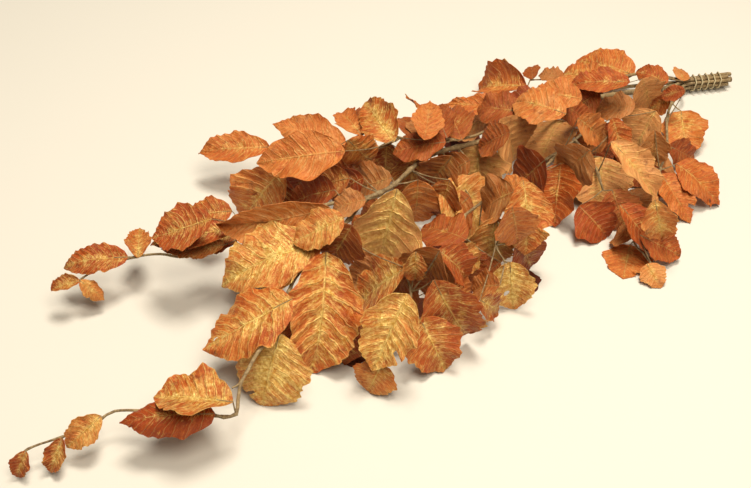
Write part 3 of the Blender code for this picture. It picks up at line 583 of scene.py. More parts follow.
def leaf_shell(blade, thick, spread=0.0, first=0.0):
    """Return the closed mesh of a blade, whose two faces are cut into triangles alike."""
    rows = BLADE_ROWS if blade.length > SMALL_BLADE else SMALL_BLADE_ROWS
    columns = CURLED_COLUMNS if abs(blade.curl) > CURLED else BLADE_COLUMNS
    wide = columns + 1
    verts = []
    grid, outward = blade_grid(blade, rows, columns, spread, first)
    for line, normals in zip(grid, outward):
        verts += [p + n * thick / 2 for p, n in zip(line, normals)]
        verts += [p - n * thick / 2 for p, n in zip(line, normals)]
    for v in verts:
        v.z = max(v.z, 0.0)
    faces = []
    for i in range(rows):
        a, b = i * 2 * wide, (i + 1) * 2 * wide
        for j in range(columns):
            for level in (0, wide):
                quad = (a + j + level, a + j + 1 + level, b + j + 1 + level, b + j + level)
                faces += split(quad, j < columns / 2)
        for j in (0, columns):
            faces += split((a + j, b + j, b + j + wide, a + j + wide), False)
    for a in (0, rows * 2 * wide):
        for j in range(a, a + columns):
            faces += split((j, j + 1, j + 1 + wide, j + wide), False)
    return verts, faces


def stalk_line(blade, foot):
    """Return the line that a stalk's middle follows."""
    lean = (blade.base - foot).normalized().dot(blade.ahead)
    if lean < BENT_BACK:
        return [foot, blade.point(SUNK_IN, 0.0)]
    return [foot, blade.base, blade.point(FIRST_TESTED, 0.0)]



print("a shell has", BLADE_ROWS, "rows")

# %% [markdown]
# What has been placed is kept, each with its box and a search tree. Two things whose boxes lie
# apart can't touch, which is quick to see, and so the slower trees are seldom asked.

# %% Neighbours
SPOTS_ALONG = (0.2, 0.5, 0.8)      # where a blade is tested for being hidden
SPOTS_ACROSS = (-0.7, 0.0, 0.7)


def pixel_box(points):
    """Return the lowest and highest pixels that show any of the points."""
    pixels = [pixel_of(p) for p in points]
    return (Vector((min(p.x for p in pixels), min(p.y for p in pixels))),
            Vector((max(p.x for p in pixels), max(p.y for p in pixels))))


def corners(verts):
    """Return the lowest and the highest corner of the box round some points."""
    return (Vector(min(v[k] for v in verts) for k in range(3)),
            Vector(max(v[k] for v in verts) for k in range(3)))


def apart(low, high, its_low, its_high):
    """Say whether two boxes lie clear of each other."""
    return any(high[k] < its_low[k] or its_high[k] < low[k] for k in range(len(low)))


class Neighbours:
    """What has been placed so far, so that the next leaf lies clear of it."""

    def __init__(self):
        self.things = []
        self.shown = []

    def add(self, owner, kind, verts, faces):
        """Take in a mesh: a blade, a stalk or wood of the owner."""
        tree = BVHTree.FromPolygons(verts, faces)
        self.things.append((owner, kind, *corners(verts), tree))
        if kind == "blade":
            self.shown.append((*pixel_box(verts), tree))

    def hides(self, blade):
        """Say whether anything that has been placed hides part of a blade from the eye."""
        spots = [blade.point(s, t) for s in SPOTS_ALONG for t in SPOTS_ACROSS]
        low, high = pixel_box(spots)
        for its_low, its_high, tree in self.shown:
            if apart(low, high, its_low, its_high):
                continue
            for spot in spots:
                if tree.ray_cast(spot, (EYE - spot).normalized())[0]:
                    return True
        return False

    def touched(self, verts, faces, skip):
        """Say whether a mesh crosses anything that skip(owner, kind) doesn't leave out."""
        low, high = corners(verts)
        tree = None
        for owner, kind, its_low, its_high, its_tree in self.things:
            if skip(owner, kind) or apart(low, high, its_low, its_high):
                continue
            tree = tree or BVHTree.FromPolygons(verts, faces)
            if tree.overlap(its_tree):
                return True
        return False


print("a blade is tested at", len(SPOTS_ALONG) * len(SPOTS_ACROSS), "spots")

# %% [markdown]
# The tie is a neighbour too. Each turn of it bears on the stem that stands out furthest on
# that side, as a wound fibre does under tension, and leaves the hollows between them open.

# %% The tie's line
TIE_TURNS = 5
TIE_THICK = 1.3 * MM
TIE_GAP = 0.45 * MM
TIE_STEPS = 12


def tie_path(steps):
    """Return the line wound round the stems: each turn bears on the outermost of them."""
    pitch = (TIE_END - TIE_START).length / TIE_TURNS
    path = []
    for k in range(TIE_TURNS * steps + 1):
        angle = math.tau * k / steps
        out = Vector((math.cos(angle), math.sin(angle)))
        reach = []
        for branch in BRANCHES:
            across, up, thick = branch.seat
            centre = Vector((across, up)) * MM
            radius = (thick + TIE_THICK / MM) * MM / 2 + TIE_GAP
            reach.append((centre.dot(out) + radius, centre + out * radius))
        spot = max(reach, key=lambda pair: pair[0])[1]
        along = TIE_START + ALONG_TIE * pitch * k / steps
        path.append(along + ACROSS_TIE * spot.x + UP * spot.y)
    return path


def tie_mesh(spare):
    """Return the tie as a simple tube, with something to spare round it."""
    path = tie_path(TIE_STEPS)
    return tube(path, [TIE_THICK / 2 + spare] * len(path), TIE_SIDES)


print("the tie has", TIE_TURNS, "turns")


# %% [markdown]
# ## Placing the leaves
# A photograph doesn't tell heights. A base is taken to hang close over its own stem, and a tip
# lies on its sight line, as far from the base as a leaf of that breadth is long. The stalk
# grows from the nearest wood that it can reach without a detour.

# %% Tips, bases and feet
BASE_LIFT = 2.5 * MM         # a base sits this high over its stem
NEAR_STEM = 8                # pixels; bases further from their stem hang lower
SHADE_SLOPE = 0.35           # by this many mm for each pixel
LOWEST_BASE = 4 * MM
FEET_TRIED = 4
SIDEWAYS_COST = 0.5          # how much longer a stalk aside of its midrib counts
NO_LENGTH = 1e-6
LEAF_PROPORTION = 0.64       # breadth over length
SHORTEST_LEAN = 1.03         # a leaf is at least this much longer than it looks


def tip_at(base, px, py, length):
    """Return the point of a sight line that lies a length from the base, on its far side."""
    line = sight_line(px, py)
    away = base - EYE
    near = away.dot(line)
    aside = (away - line * near).length
    length = max(length, aside * SHORTEST_LEAN)
    tip = EYE + line * (near + math.sqrt(length ** 2 - aside ** 2))
    if tip.z < LOWEST:
        tip = seen_at(px, py, LOWEST)
    return tip


def base_height(px, py, wood):
    """Return how high a leaf's base hangs: as its stem, and lower the further from it."""
    pixel = Vector((px, py))
    gap, height = min(((pixel_of(p) - pixel).length, p.z) for path, _, _ in wood for p in path)
    return max(height + BASE_LIFT - SHADE_SLOPE * MM * max(gap - NEAR_STEM, 0.0), LOWEST_BASE)


def feet(blade, wood):
    """Return the places on the branch's wood that the stalk could grow from, best first."""
    found = []
    for path, _, _ in wood:
        for p in path[1:]:
            run = blade.base - p
            if run.length < NO_LENGTH:
                found.append((0.0, p))
                continue
            lean = run.normalized().dot(blade.ahead)
            found.append((run.length * (1 + SIDEWAYS_COST * (1 - lean)), p))
    found.sort(key=lambda pair: pair[0])
    return [p for _, p in found[:FEET_TRIED]]


print("a leaf is", LEAF_PROPORTION, "as broad as it is long")

# %% [markdown]
# One place is tried with a shell that is thicker than the leaf, so that some room stays round
# it. A leaf may touch the twig that it grows from, but only close to its own base.

# %% Trying one place
BLADE_CLEAR = 0.6 * MM       # kept free on both sides of a blade


def try_blade(branch, blade, wood, others, own_too):
    """Return the foot of the leaf's stalk if blade and stalk lie clear, else None."""
    def skip_own(owner, kind):
        return owner == branch.name

    def skip_others(owner, kind):
        return owner != branch.name

    def skip_for_stalk(owner, kind):
        return owner == branch.name and (kind != "blade" or not own_too)

    wide = BLADE_THICK + 2 * BLADE_CLEAR
    if others.touched(*leaf_shell(blade, wide, BLADE_CLEAR), skip_own):
        return None
    if own_too:
        outer = leaf_shell(blade, wide, BLADE_CLEAR, FIRST_TESTED)
        if others.touched(*outer, skip_others):
            return None
    for foot in feet(blade, wood):
        foot = foot + blade.side * blade.aside
        if (blade.base - foot).length < STALK_THICK:
            foot = foot - blade.ahead * STALK_THICK
        line = stalk_line(blade, foot)
        stalk = tube(line, [STALK_THICK / 2 + BLADE_CLEAR] * len(line), STALK_SIDES)
        if not others.touched(*stalk, skip_for_stalk):
            others.add(branch.name, "blade", *leaf_shell(blade, BLADE_THICK))
            others.add(branch.name, "stalk", *stalk)
            return foot
    return None


print("a leaf keeps", round(BLADE_CLEAR / MM, 1), "mm clear")

# %% [markdown]
# If a place isn't free, the leaf is lifted along its sight lines, shortened a little or turned
# about its midrib. First it must lie in front of all others, then only clear of them, and at
# last only clear of the other stems. Hidden leaves have just one place, flat on the table.

# %% Trying many places
LIFTS = [*range(0, 46, 3), -4, -8, -12]
STRETCHES = (1.0, 0.9)
EXTRA_TURNS = (0, 14, -14, 28, -28)


def place_leaf(branch, leaf, field, seed, wood, others):
    """Return a leaf's blade and stalk foot, lifted along its sight lines until it is clear."""
    px, py, tip_x, tip_y, breadth, turn, curl = leaf
    height = base_height(px, py, wood)
    for own_too, in_front in ((True, True), (True, False), (False, False)):
        if in_front and field == "low":
            continue
        for lift in LIFTS:
            if height + lift * MM < LOWEST_BASE:
                continue
            base = seen_at(px, py, height + lift * MM)
            for stretch in STRETCHES:
                tip = tip_at(base, tip_x, tip_y, breadth * MM / LEAF_PROPORTION * stretch)
                for extra in EXTRA_TURNS:
                    blade = Blade(base, tip, breadth * MM, turn + extra, curl, seed)
                    if in_front and others.hides(blade):
                        continue
                    stalk = try_blade(branch, blade, wood, others, own_too)
                    if stalk:
                        return blade, stalk
    return None


def place_hidden(branch, leaf, seed, wood, others):
    """Return the blade and stalk foot of a leaf that lies flat on the table."""
    px, py, tip_x, tip_y, breadth = leaf
    base = seen_at(px, py, BLADE_THICK / 2)
    tip = seen_at(tip_x, tip_y, BLADE_THICK / 2)
    blade = Blade(base, tip, breadth * MM, 0, 0, seed, flat=True)
    for own_too in (True, False):
        stalk = try_blade(branch, blade, wood, others, own_too)
        if stalk:
            return blade, stalk
    return None


print("a leaf has", len(LIFTS) * len(STRETCHES) * len(EXTRA_TURNS), "places to try")

# %% [markdown]
# All wood is placed first, then the leaves on the table, the low ones, the middle ones and
# those on top, branch by branch. So each leaf finds what it has to lie over.

# %% Growing the bunch
def grow_bunch():
    """Place all wood, then the leaves on the table, then the others from low to top."""
    others = Neighbours()
    woods = {branch.name: grow_wood(branch) for branch in BRANCHES}
    for branch in BRANCHES:
        for path, radii, sides in woods[branch.name]:
            wider = [r + BLADE_CLEAR for r in radii]
            others.add(branch.name, "wood", *tube(path, wider, sides))
    others.add("tie", "wood", *tie_mesh(BLADE_CLEAR))
    leaves = {branch.name: [] for branch in BRANCHES}
    left_out = []
    for field in ("hidden", "low", "middle", "top"):
        for number, branch in enumerate(BRANCHES):
            for k, leaf in enumerate(getattr(branch, field)):
                seed = f"{field} {number} {k}"
                if field == "hidden":
                    found = place_hidden(branch, leaf, seed, woods[branch.name], others)
                else:
                    found = place_leaf(branch, leaf, field, seed, woods[branch.name], others)
                if found:
                    leaves[branch.name].append((*found, seed, tuple(leaf[:2])))
                else:
                    left_out.append((branch.name, field, k))
    print("left out:", left_out)
    return woods, leaves


woods, leaves = grow_bunch()
print("leaves:", {name: len(found) for name, found in leaves.items()})

# %% [markdown]
# ## The first leaf
# A beech leaf has about nine straight veins on each side, and is pleated along them. If the
# rows of a grid follow the veins, a fold can follow them too. So the master leaf is a grid
# whose x is the share across the leaf, and y the number of the vein over their count.
# Four rows stand for each vein: one on it, one in the valley after it, and two between.

# %% The master leaf
VEINS = 10
ROWS_A_VEIN = 4
COLUMNS = 16

bpy.ops.object.select_all(action="DESELECT")
bpy.ops.mesh.primitive_grid_add(x_subdivisions=COLUMNS, y_subdivisions=VEINS * ROWS_A_VEIN, size=2)
master = bpy.context.object
master.name = "master_leaf"
bpy.ops.object.mode_set(mode="EDIT")
bpy.ops.mesh.select_all(action="SELECT")
bpy.ops.transform.translate(value=(0, 1, 0))
bpy.ops.transform.resize(value=(1, 0.5, 1), center_override=(0, 0, 0))
bpy.ops.object.mode_set(mode="OBJECT")
print("master leaf:", len(master.data.polygons), "faces")

# %% [markdown]
# ## What makes one leaf differ from the next
# The margin has a small tooth where each vein ends, waves that dried into it, and bites where
# it broke off. All are drawn from the leaf's own seed, so each run gives the same leaves.
# A vein leaves the midrib aslant and meets the margin further toward the tip.

# %% One leaf's details
VEIN_SLANT = 0.25            # how far along a vein runs, at most, as a share of the length
VEIN_ARCH = 0.3              # the share of that slant that comes late, toward the margin
TOOTH, NICK = 0.045, 0.045   # the teeth and nicks, as shares of the half breadth
PLEAT = 0.0065               # pleats, waves and dents, as shares of the length
RUFFLE = 0.040
DENT = 0.030
CRINKLE = 0.010
WAVER = 0.05                 # how much the margin wavers, as a share of the half breadth
BLUNT, SHARP = (0.50, 0.66), (0.62, 1.02)    # powers of the outline at the base and the tip
MIDDLES = (0.80, 1.04)       # a power that moves the broadest place along
BITE_PLACES, BITE_WIDTHS, BITE_DEPTHS = (0.25, 1.0), (0.02, 0.07), (0.05, 0.22)
HOOK_FROM = 0.6              # the tip bends from here on
ROLLS = (-0.06, 0.07)        # how far each margin rolls down or up, as a share of the length
HOOKS = (-0.75, 0.35)        # how strongly the tip bends down or up


class Details:
    """The margin, pleats and dents of one leaf."""

    def __init__(self, seed):
        draw = random.Random(seed + " details")
        self.blunt, self.sharp = draw.uniform(*BLUNT), draw.uniform(*SHARP)
        self.broadest = draw.uniform(*MIDDLES)
        self.rolls = (draw.uniform(*ROLLS), draw.uniform(*ROLLS))
        self.hook = draw.uniform(*HOOKS)
        self.pleat = PLEAT * draw.uniform(0.4, 1.5)
        self.ruffle = RUFFLE * draw.uniform(0.5, 1.3)
        self.offset = Vector((draw.uniform(0, 50), draw.uniform(0, 50), draw.uniform(0, 50)))
        self.slant = VEIN_SLANT * draw.uniform(0.85, 1.1)
        self.bites = [(draw.choice((-1, 1)), draw.uniform(*BITE_PLACES),
                       draw.uniform(*BITE_WIDTHS), draw.uniform(*BITE_DEPTHS))
                      for _ in range(draw.choice((1, 2, 3, 4)))]
        self.tone, self.gild, self.fleck = draw.random(), draw.random(), draw.random()

    def half(self, s, breadth):
        """Return half the breadth at s, without teeth: rounded at the base, pointed at the tip."""
        power = self.blunt + (self.sharp - self.blunt) * s
        return breadth / 2 * max(math.sin(math.pi * s ** self.broadest), 0.0) ** power

    def margin(self, c, p):
        """Return the factor by which teeth and bites change the margin's reach."""
        factor = 1 + TOOTH * math.cos(math.tau * VEINS * p)
        factor += WAVER * noise.noise(self.offset + Vector((math.copysign(3, c), 9 * p, 0)))
        factor += NICK * noise.noise(self.offset + Vector((math.copysign(8, c), 31 * p, 0)))
        for side, middle, wide, deep in self.bites:
            if side * c > 0:
                factor -= deep * max(0.0, 1 - ((p - middle) / wide) ** 2)
        return factor

    def lift(self, c, p, length):
        """Return how far pleats, waves and dents stand off the blade."""
        pleats = math.cos(math.tau * VEINS * p) * min(1.0, abs(c) * 5) * (1 - 0.4 * abs(c))
        along = self.offset + Vector((math.copysign(4, c), 5.5 * p, 0))
        wave = noise.noise(along) * c * c * 2
        dent = noise.noise(self.offset + Vector((1.6 * c, 4 * p, 7))) * DENT
        dent += noise.noise(self.offset + Vector((4.5 * c, 13 * p, 17))) * CRINKLE
        roll = self.rolls[0 if c < 0 else 1] * abs(c) ** 3
        fade = math.sin(math.pi * min(max(p, 0.0), 1.0)) ** 0.5
        bend = self.hook * max(p - HOOK_FROM, 0.0) ** 2
        return length * (fade * (pleats * self.pleat + wave * self.ruffle + dent + roll) + bend)


print("a leaf has", VEINS - 1, "veins a side")

# %% [markdown]
# ## How single leaves look
# Leaves that show well in the photograph are named by their base pixel, with how gilded each
# is and its tone: 0 is deep copper, 0.35 copper brown, 0.65 orange, 1 pale tan. The others
# draw their own. Low and hidden leaves are broader, to fill the heap, and darker, as painted
# shade.

# %% How single leaves look
BY_PLACE, BY_DRAW, TONES = 0.45, 0.35, 0.9   # shares of the gold, and the span of the tones
WIDER = {"low": 1.14, "hidden": 1.25}    # low and hidden leaves fill the heap to the table and are darkened there as painted shade
PAINTED_SHADE = {"low": 0.30, "hidden": 0.95}     # and took more dye than the leaves over them
BROADER = {                              # single leaves, by their base
    (418, 180): 1.25, (562, 163): 1.30, (500, 119): 1.20, (582, 99): 1.30, (345, 151): 1.35,
    (292, 299): 1.12, (233, 402): 1.20, (579, 206): 1.15, (512, 207): 1.15, (466, 240): 1.25,
    (545, 160): 1.20, (514, 192): 1.30, (562, 120): 1.15, (518, 240): 1.30, (495, 217): 1.10,
    (601, 157): 1.10, (527, 87): 1.15, (441, 186): 1.15, (479, 145): 1.10,
}
GOLD_FROM_X, GOLD_TO_X = 0.22, -0.22     # more gold was brushed on toward the tips
# Tones above 1 are painted light: they lighten steep leaves that the lamps light poorly.
LOOKS_AND_PAINTED_LIGHT = {
    (233, 402): (0.72, 0.35), (280, 333): (0.95, 0.60), (326, 252): (0.62, 0.45),
    (330, 208): (0.03, 0.70), (418, 150): (0.60, 0.10), (397, 189): (0.80, 1.05),
    (562, 120): (0.28, 1.05), (500, 119): (0.18, 1.05), (479, 145): (0.50, 1.10),
    (441, 186): (0.72, 0.75), (235, 230): (0.35, 0.10), (212, 219): (0.40, 0.18),
    (232, 211): (0.45, 0.35), (128, 257): (0.48, 0.18), (322, 243): (0.78, 0.55),
    (292, 299): (0.58, 0.45), (344, 218): (0.62, 0.55), (492, 119): (0.26, 1.05),
    (418, 180): (0.08, 0.66), (406, 268): (0.62, 0.40), (387, 142): (0.50, 0.05),
    (345, 151): (0.10, 0.62), (346, 147): (0.08, 0.62), (270, 147): (0.30, 0.52),
    (282, 170): (0.35, 0.58), (394, 142): (0.62, 0.35), (361, 135): (0.10, 0.55),
    (434, 280): (0.45, 0.25), (420, 318): (0.50, 0.30), (408, 294): (0.88, 0.55),
    (382, 364): (0.55, 0.50), (452, 248): (0.75, 0.65), (438, 250): (0.20, 0.20),
    (634, 75): (0.25, 0.50), (566, 114): (0.12, 0.62), (642, 79): (0.15, 1.00),
    (602, 87): (0.42, 0.50), (527, 87): (0.35, 0.42), (582, 99): (0.08, 0.60),
    (523, 180): (0.50, 0.50), (562, 163): (0.08, 0.25), (512, 207): (0.10, 0.58),
    (495, 217): (0.62, 0.70), (510, 262): (0.92, 0.60), (601, 157): (0.42, 0.95),
    (578, 118): (0.05, 0.62), (611, 142): (0.38, 1.05), (656, 111): (0.22, 1.05),
    (530, 186): (0.08, 0.58), (579, 206): (0.03, 0.08), (661, 174): (0.08, 0.50),
    (676, 164): (0.12, 0.42), (681, 111): (0.42, 0.62), (620, 205): (0.08, 0.20),
    (630, 245): (0.22, 0.55), (640, 235): (0.12, 0.30), (655, 200): (0.50, 0.60),
    (215, 414): (0.20, 0.00), (62, 438): (0.50, 0.10), (26, 451): (0.55, 0.15),
    (101, 416): (0.60, 0.60), (138, 258): (0.50, 0.40), (668, 82): (0.10, 0.30),
    (683, 81): (0.15, 0.80), (685, 90): (0.10, 0.10), (424, 140): (0.10, 0.55),
}
print(len(LOOKS_AND_PAINTED_LIGHT), "leaves have a look of their own, and", len(BROADER), "a breadth")

# %% [markdown]
# ## Bending the copies
# Each vertex of a copy takes its place on its blade: its row says where on the midrib its
# vein starts, its column how far along the vein it is.

# %% A point of a finer leaf
BOX_SPARE = 0.5 * MM
MOST_ACROSS = 1.25           # how far a margin may reach past its shell's


def keep_inside(place):
    """Return a point kept inside the solids' box and above the table."""
    return Vector(min(max(at, low + BOX_SPARE), high - BOX_SPARE)
                  for at, low, high in zip(place, *cad_box))


def fine_place(blade, details, wider, c, p):
    """Return the place of a point, at c across the leaf and vein share p."""
    slant = details.slant * math.sin(math.pi * p) * (1 - 0.3 * p)
    s = p + abs(c) * (1 - VEIN_ARCH + VEIN_ARCH * abs(c)) * slant
    reach = details.half(p + slant, blade.breadth * wider) * details.margin(c, p)
    reach = max(reach, STALK_THICK / 2)
    t = abs(c) * reach / max(blade.half(s), STALK_THICK / 2)
    place = blade.point(s, math.copysign(min(t, MOST_ACROSS), c), details.lift(c, p, blade.length))
    return keep_inside(place)


print("points stay", round(BOX_SPARE / MM, 1), "mm inside the solids' box")

# %% [markdown]
# A tear is opened by moving the vertices near it to its edge and deleting the faces within.
# The copy also keeps four numbers of its own for its colour: its tone, how much gold it got, a
# fleck value and how much painted shade it gets for lying deep in the heap.

# %% Bending a copy
TORN_REACH, TORN_HEART = 1.35, 0.5       # in radii of a hole: who is moved, and who isn't
TORN_ROUGH = 0.15


def bend_copy(blade, seed, base, holes):
    """Return a copy of the master leaf, bent to a blade."""
    sheet = master.data.copy()
    details = Details(seed)
    field = seed.split()[0]
    wider = WIDER.get(field, 1.0) * BROADER.get(base, 1.0)
    gone = set()
    for v in sheet.vertices:
        c, p = v.co.x, v.co.y
        for hole_c, hole_p, wide, tall in holes:
            away = Vector(((c - hole_c) / wide, (p - hole_p) / tall))
            if away.length < TORN_REACH:
                if away.length < 1.0:
                    gone.add(v.index)
                if away.length > TORN_HEART:
                    rough = noise.noise(Vector((c * 9, p * 30, 0)))
                    away *= (1.0 + TORN_ROUGH * rough) / away.length
                    c, p = hole_c + away.x * wide, hole_p + away.y * tall
                    p = min(max(p, 0.0), 1.0)
        v.co = fine_place(blade, details, wider, c, p)
    if gone:
        bm = bmesh.new()
        bm.from_mesh(sheet)
        bm.verts.ensure_lookup_table()
        torn = [f for f in bm.faces if all(v.index in gone for v in f.verts)]
        bmesh.ops.delete(bm, geom=torn, context="FACES")
        bm.to_mesh(sheet)
        bm.free()
    dye = sheet.attributes.new("dye", "FLOAT_COLOR", "POINT")
    middle = (blade.base.x + blade.tip.x) / 2
    toward_tips = min(max((middle - GOLD_FROM_X) / (GOLD_TO_X - GOLD_FROM_X), 0.0), 1.0)
    drawn = (BY_PLACE * toward_tips + BY_DRAW * details.gild, TONES * details.tone)
    gild, tone = LOOKS_AND_PAINTED_LIGHT.get(base, drawn)
    # Low and hidden leaves not named in the table get painted shade by how deep they lie.
    deep = 0.0 if base in LOOKS_AND_PAINTED_LIGHT else PAINTED_SHADE.get(field, 0.0)
    for spot in dye.data:
        spot.color = (tone, gild, details.fleck, deep)
    leaf = bpy.data.objects.new("leaf", sheet)
    bpy.context.scene.collection.objects.link(leaf)
    return leaf


print("copies are bent point by point")

# %% [markdown]
# ## Torn leaves
# A few leaves are torn. Each is named by its base pixel. A tear is given by its place across
# and along the leaf and its two radii. It follows the veins, because the leaf is weak there.

# %% Torn leaves
TORN = {
    (292, 299): [(0.45, 0.80, 0.22, 0.035)],
    (510, 262): [(0.35, 0.55, 0.20, 0.045)],
    (676, 164): [(0.75, 0.72, 0.50, 0.022)],
    (661, 174): [(-0.80, 0.60, 0.45, 0.030), (0.85, 0.75, 0.40, 0.025)],
    (280, 333): [(0.80, 0.74, 0.35, 0.020)],
    (408, 294): [(-0.80, 0.55, 0.45, 0.030)],
    (523, 180): [(0.85, 0.62, 0.42, 0.022)],
}
print(len(TORN), "torn leaves")

# %% [markdown]
# ## The leaves of each branch
# The copies of one branch are joined into one piece. Solidify gives them the thickness of a
# preserved leaf, and its applied shell is closed all round.

# %% The leaves of each branch
BLADE = 0.35 * MM
SMOOTH_UNDER = math.radians(50)


def choose(*things):
    """Select these objects only, and make the first of them active."""
    bpy.ops.object.select_all(action="DESELECT")
    for thing in things:
        thing.select_set(True)
    bpy.context.view_layer.objects.active = things[0]


def join(things, name):
    """Join objects into one, and return it."""
    choose(*things)
    bpy.ops.object.join()
    things[0].name = name
    things[0].data.name = name
    return things[0]


def apply_all(thing):
    """Apply all of an object's modifiers."""
    choose(thing)
    for modifier in list(thing.modifiers):
        bpy.ops.object.modifier_apply(modifier=modifier.name)


def triangles(piece):
    """Return how many triangles a piece has."""
    return sum(len(f.vertices) - 2 for f in piece.data.polygons)


leaf_pieces = {}
for branch in BRANCHES:
    copies = [bend_copy(blade, seed, base, TORN.get(base, ()))
              for blade, _, seed, base in leaves[branch.name]]
    piece = join(copies, branch.name.replace("branch", "leaves"))
    shell = piece.modifiers.new("thickness", "SOLIDIFY")
    shell.thickness = BLADE
    shell.offset = 0.0
    apply_all(piece)
    bpy.ops.object.shade_smooth_by_angle(angle=SMOOTH_UNDER)
    leaf_pieces[branch.name] = piece
    print(piece.name, triangles(piece), "triangles")
bpy.data.objects.remove(master)

# %% [markdown]
# ## Wood
# A stem is a curve with a round bevel whose radius shrinks toward the tip, made a mesh. Beech
# twigs swell at each node, where a leaf stalk leaves. Afterwards the bark is roughened by
# pushing each point a little out or in.

# %% Curves into wood
BEVEL_STEPS = 3
FINE_STEP = 5 * MM
NODE_SWELL = 0.40
NODE_REACH = 3.5 * MM
BARK_ROUGH = 0.20 * MM


def round_curve(name, path, radii, steps):
    """Return a mesh object made from a bevelled curve through the path's points."""
    data = bpy.data.curves.new(name, "CURVE")
    data.dimensions = "3D"
    data.bevel_depth = 1.0
    data.bevel_resolution = steps
    data.use_fill_caps = True
    line = data.splines.new("POLY")
    line.points.add(len(path) - 1)
    for spot, place, radius in zip(line.points, path, radii):
        spot.co = (*place, 1.0)
        spot.radius = radius
    thing = bpy.data.objects.new(name, data)
    bpy.context.scene.collection.objects.link(thing)
    choose(thing)
    bpy.ops.object.convert(target="MESH")
    return bpy.context.object


def swollen(point, radius, nodes):
    """Return a stem's radius at a point, larger near a node."""
    near = min(((point - node).length for node in nodes), default=1.0)
    return radius * (1 + NODE_SWELL * max(0.0, 1 - near / NODE_REACH))


print("wood has", 2 * BEVEL_STEPS + 4, "sides")

# %% [markdown]
# A stalk is a thin curve from its node to the blade, where it goes on as the midrib. It sags
# a little, because the leaf hangs on it.

# %% Stems, twigs and stalks
STALK_RADIUS = 0.55 * MM
STALK_SAG = 0.05
STALK_STEP = 4 * MM
INTO_BLADE = (0.02, 0.10, 0.20)          # a stalk goes on as the midrib through these shares
THICK_FOOT, THINNED = 1.25, 0.75         # of the radius: at the foot, and lost on the way
BARK_GRAIN, FINE_GRAIN = 4 * MM, 1.5 * MM
FINE_GRAIN_SHARE = 0.6


def stalk_path(blade, foot):
    """Return the points of a stalk from its foot to a little way along the midrib."""
    into = [blade.point(s, 0.0) for s in INTO_BLADE]
    middle = (foot + blade.base) / 2 - UP * (blade.base - foot).length * STALK_SAG
    middle.z = max(middle.z, STALK_THICK)
    return smooth_path([foot, middle, blade.base] + into, STALK_STEP)


wood_pieces = {}
for branch in BRANCHES:
    nodes = [foot for _, foot, _, _ in leaves[branch.name]]
    made = []
    for k in range(len(branch.routes)):
        path, radii = route_line(branch, k, FINE_STEP)
        radii = [swollen(point, radius, nodes) for point, radius in zip(path, radii)]
        made.append(round_curve("stem", path, radii, BEVEL_STEPS))
    for blade, foot, _, _ in leaves[branch.name]:
        path = stalk_path(blade, foot)
        last = len(path) - 1
        radii = [STALK_RADIUS * (THICK_FOOT - THINNED * n / last) for n in range(last + 1)]
        made.append(round_curve("stalk", path, radii, 1))
    piece = join(made, branch.name.replace("branch", "wood"))
    for v in piece.data.vertices:
        rough = noise.noise(v.co / BARK_GRAIN)
        rough += FINE_GRAIN_SHARE * noise.noise(v.co / FINE_GRAIN)
        v.co = keep_inside(v.co + v.normal * rough * BARK_ROUGH)
    bpy.ops.object.shade_smooth_by_angle(angle=SMOOTH_UNDER)
    wood_pieces[branch.name] = piece
    print(piece.name, triangles(piece), "triangles")

# %% [markdown]
# ## The tie
# A length of raffia is wound five times round the stems and bears on the outermost of them.
# Raffia is a strip of palm leaf that creases as it is wound, so its surface is made uneven.

# %% The tie
FINE_TIE_STEPS = 48
TIE_BEVEL_STEPS = 2
RAFFIA_GRAIN = 0.9 * MM
RAFFIA_ROUGH_MM = 0.12

path = tie_path(FINE_TIE_STEPS)
tie = round_curve("tie_raffia", path, [TIE_THICK / 2] * len(path), TIE_BEVEL_STEPS)
for v in tie.data.vertices:
    v.co += v.normal * noise.noise(v.co / RAFFIA_GRAIN) * RAFFIA_ROUGH_MM * MM
bpy.ops.object.shade_smooth_by_angle(angle=SMOOTH_UNDER)
print(tie.name, len(tie.data.polygons), "faces")

# %% [markdown]
# ## Nodes and colours
# Colours are named as on a screen, in sRGB, and Blender mixes them in linear light.

# %% Colour and node helpers
def linear(code):
    """Return the linear colour of an sRGB hex code."""
    parts = [int(code[k:k + 2], 16) / 255 for k in (1, 3, 5)]
    return (*(c / 12.92 if c <= 0.04045 else ((c + 0.055) / 1.055) ** 2.4 for c in parts), 1.0)


def feed(tree, node, inputs):
    """Set a node's inputs to numbers, colours, outputs, or nodes for their first output."""
    for key, value in inputs.items():
        if isinstance(value, bpy.types.Node):
            value = value.outputs[0]
        if isinstance(value, bpy.types.NodeSocket):
            tree.links.new(value, node.inputs[key])
        else:
            node.inputs[key].default_value = value


def add(tree, kind, inputs=None, **settings):
    """Add a shader node with its settings and inputs."""
    node = tree.nodes.new("ShaderNode" + kind)
    for name, value in settings.items():
        setattr(node, name, value)
    feed(tree, node, inputs or {})
    return node



def new_material(name):
    """Return a new material, its node tree and its Principled shader."""
    made = bpy.data.materials.new(name)
    made.use_nodes = True
    return made, made.node_tree, made.node_tree.nodes["Principled BSDF"]


print("copper is", [round(c, 3) for c in linear("#B5652F")[:3]])

# %% [markdown]
# ## Dyed, gilded leaf
# A beech leaf that has drunk glycerine is leathery, with a soft waxy gloss. The dye makes it
# copper brown. Gold paint, dragged over it with a nearly dry brush, stays on what stands
# proud: the midrib, the veins, the teeth, and streaks between them.
# The leaf's own map tells the veins: its v counts them, and its u runs across the leaf. The
# veins stand about 8 mm apart, and the line of each is a little under 1 mm wide.

# %% Leaf: veins
leaf_finish, tree, leaf_shader = new_material("glycerine_preserved_beech_leaf")
uv = add(tree, "SeparateXYZ", {0: add(tree, "UVMap")})
place = add(tree, "TexCoord").outputs["Object"]
dye_and_painted_shade = add(tree, "Attribute", attribute_name="dye")
dye = add(tree, "SeparateColor", {0: dye_and_painted_shade.outputs["Color"]})
# deep, the fourth number, is the painted shade of low and hidden leaves.
tone, gild, fleck, deep = dye.outputs[0], dye.outputs[1], dye.outputs[2], dye_and_painted_shade.outputs["Alpha"]

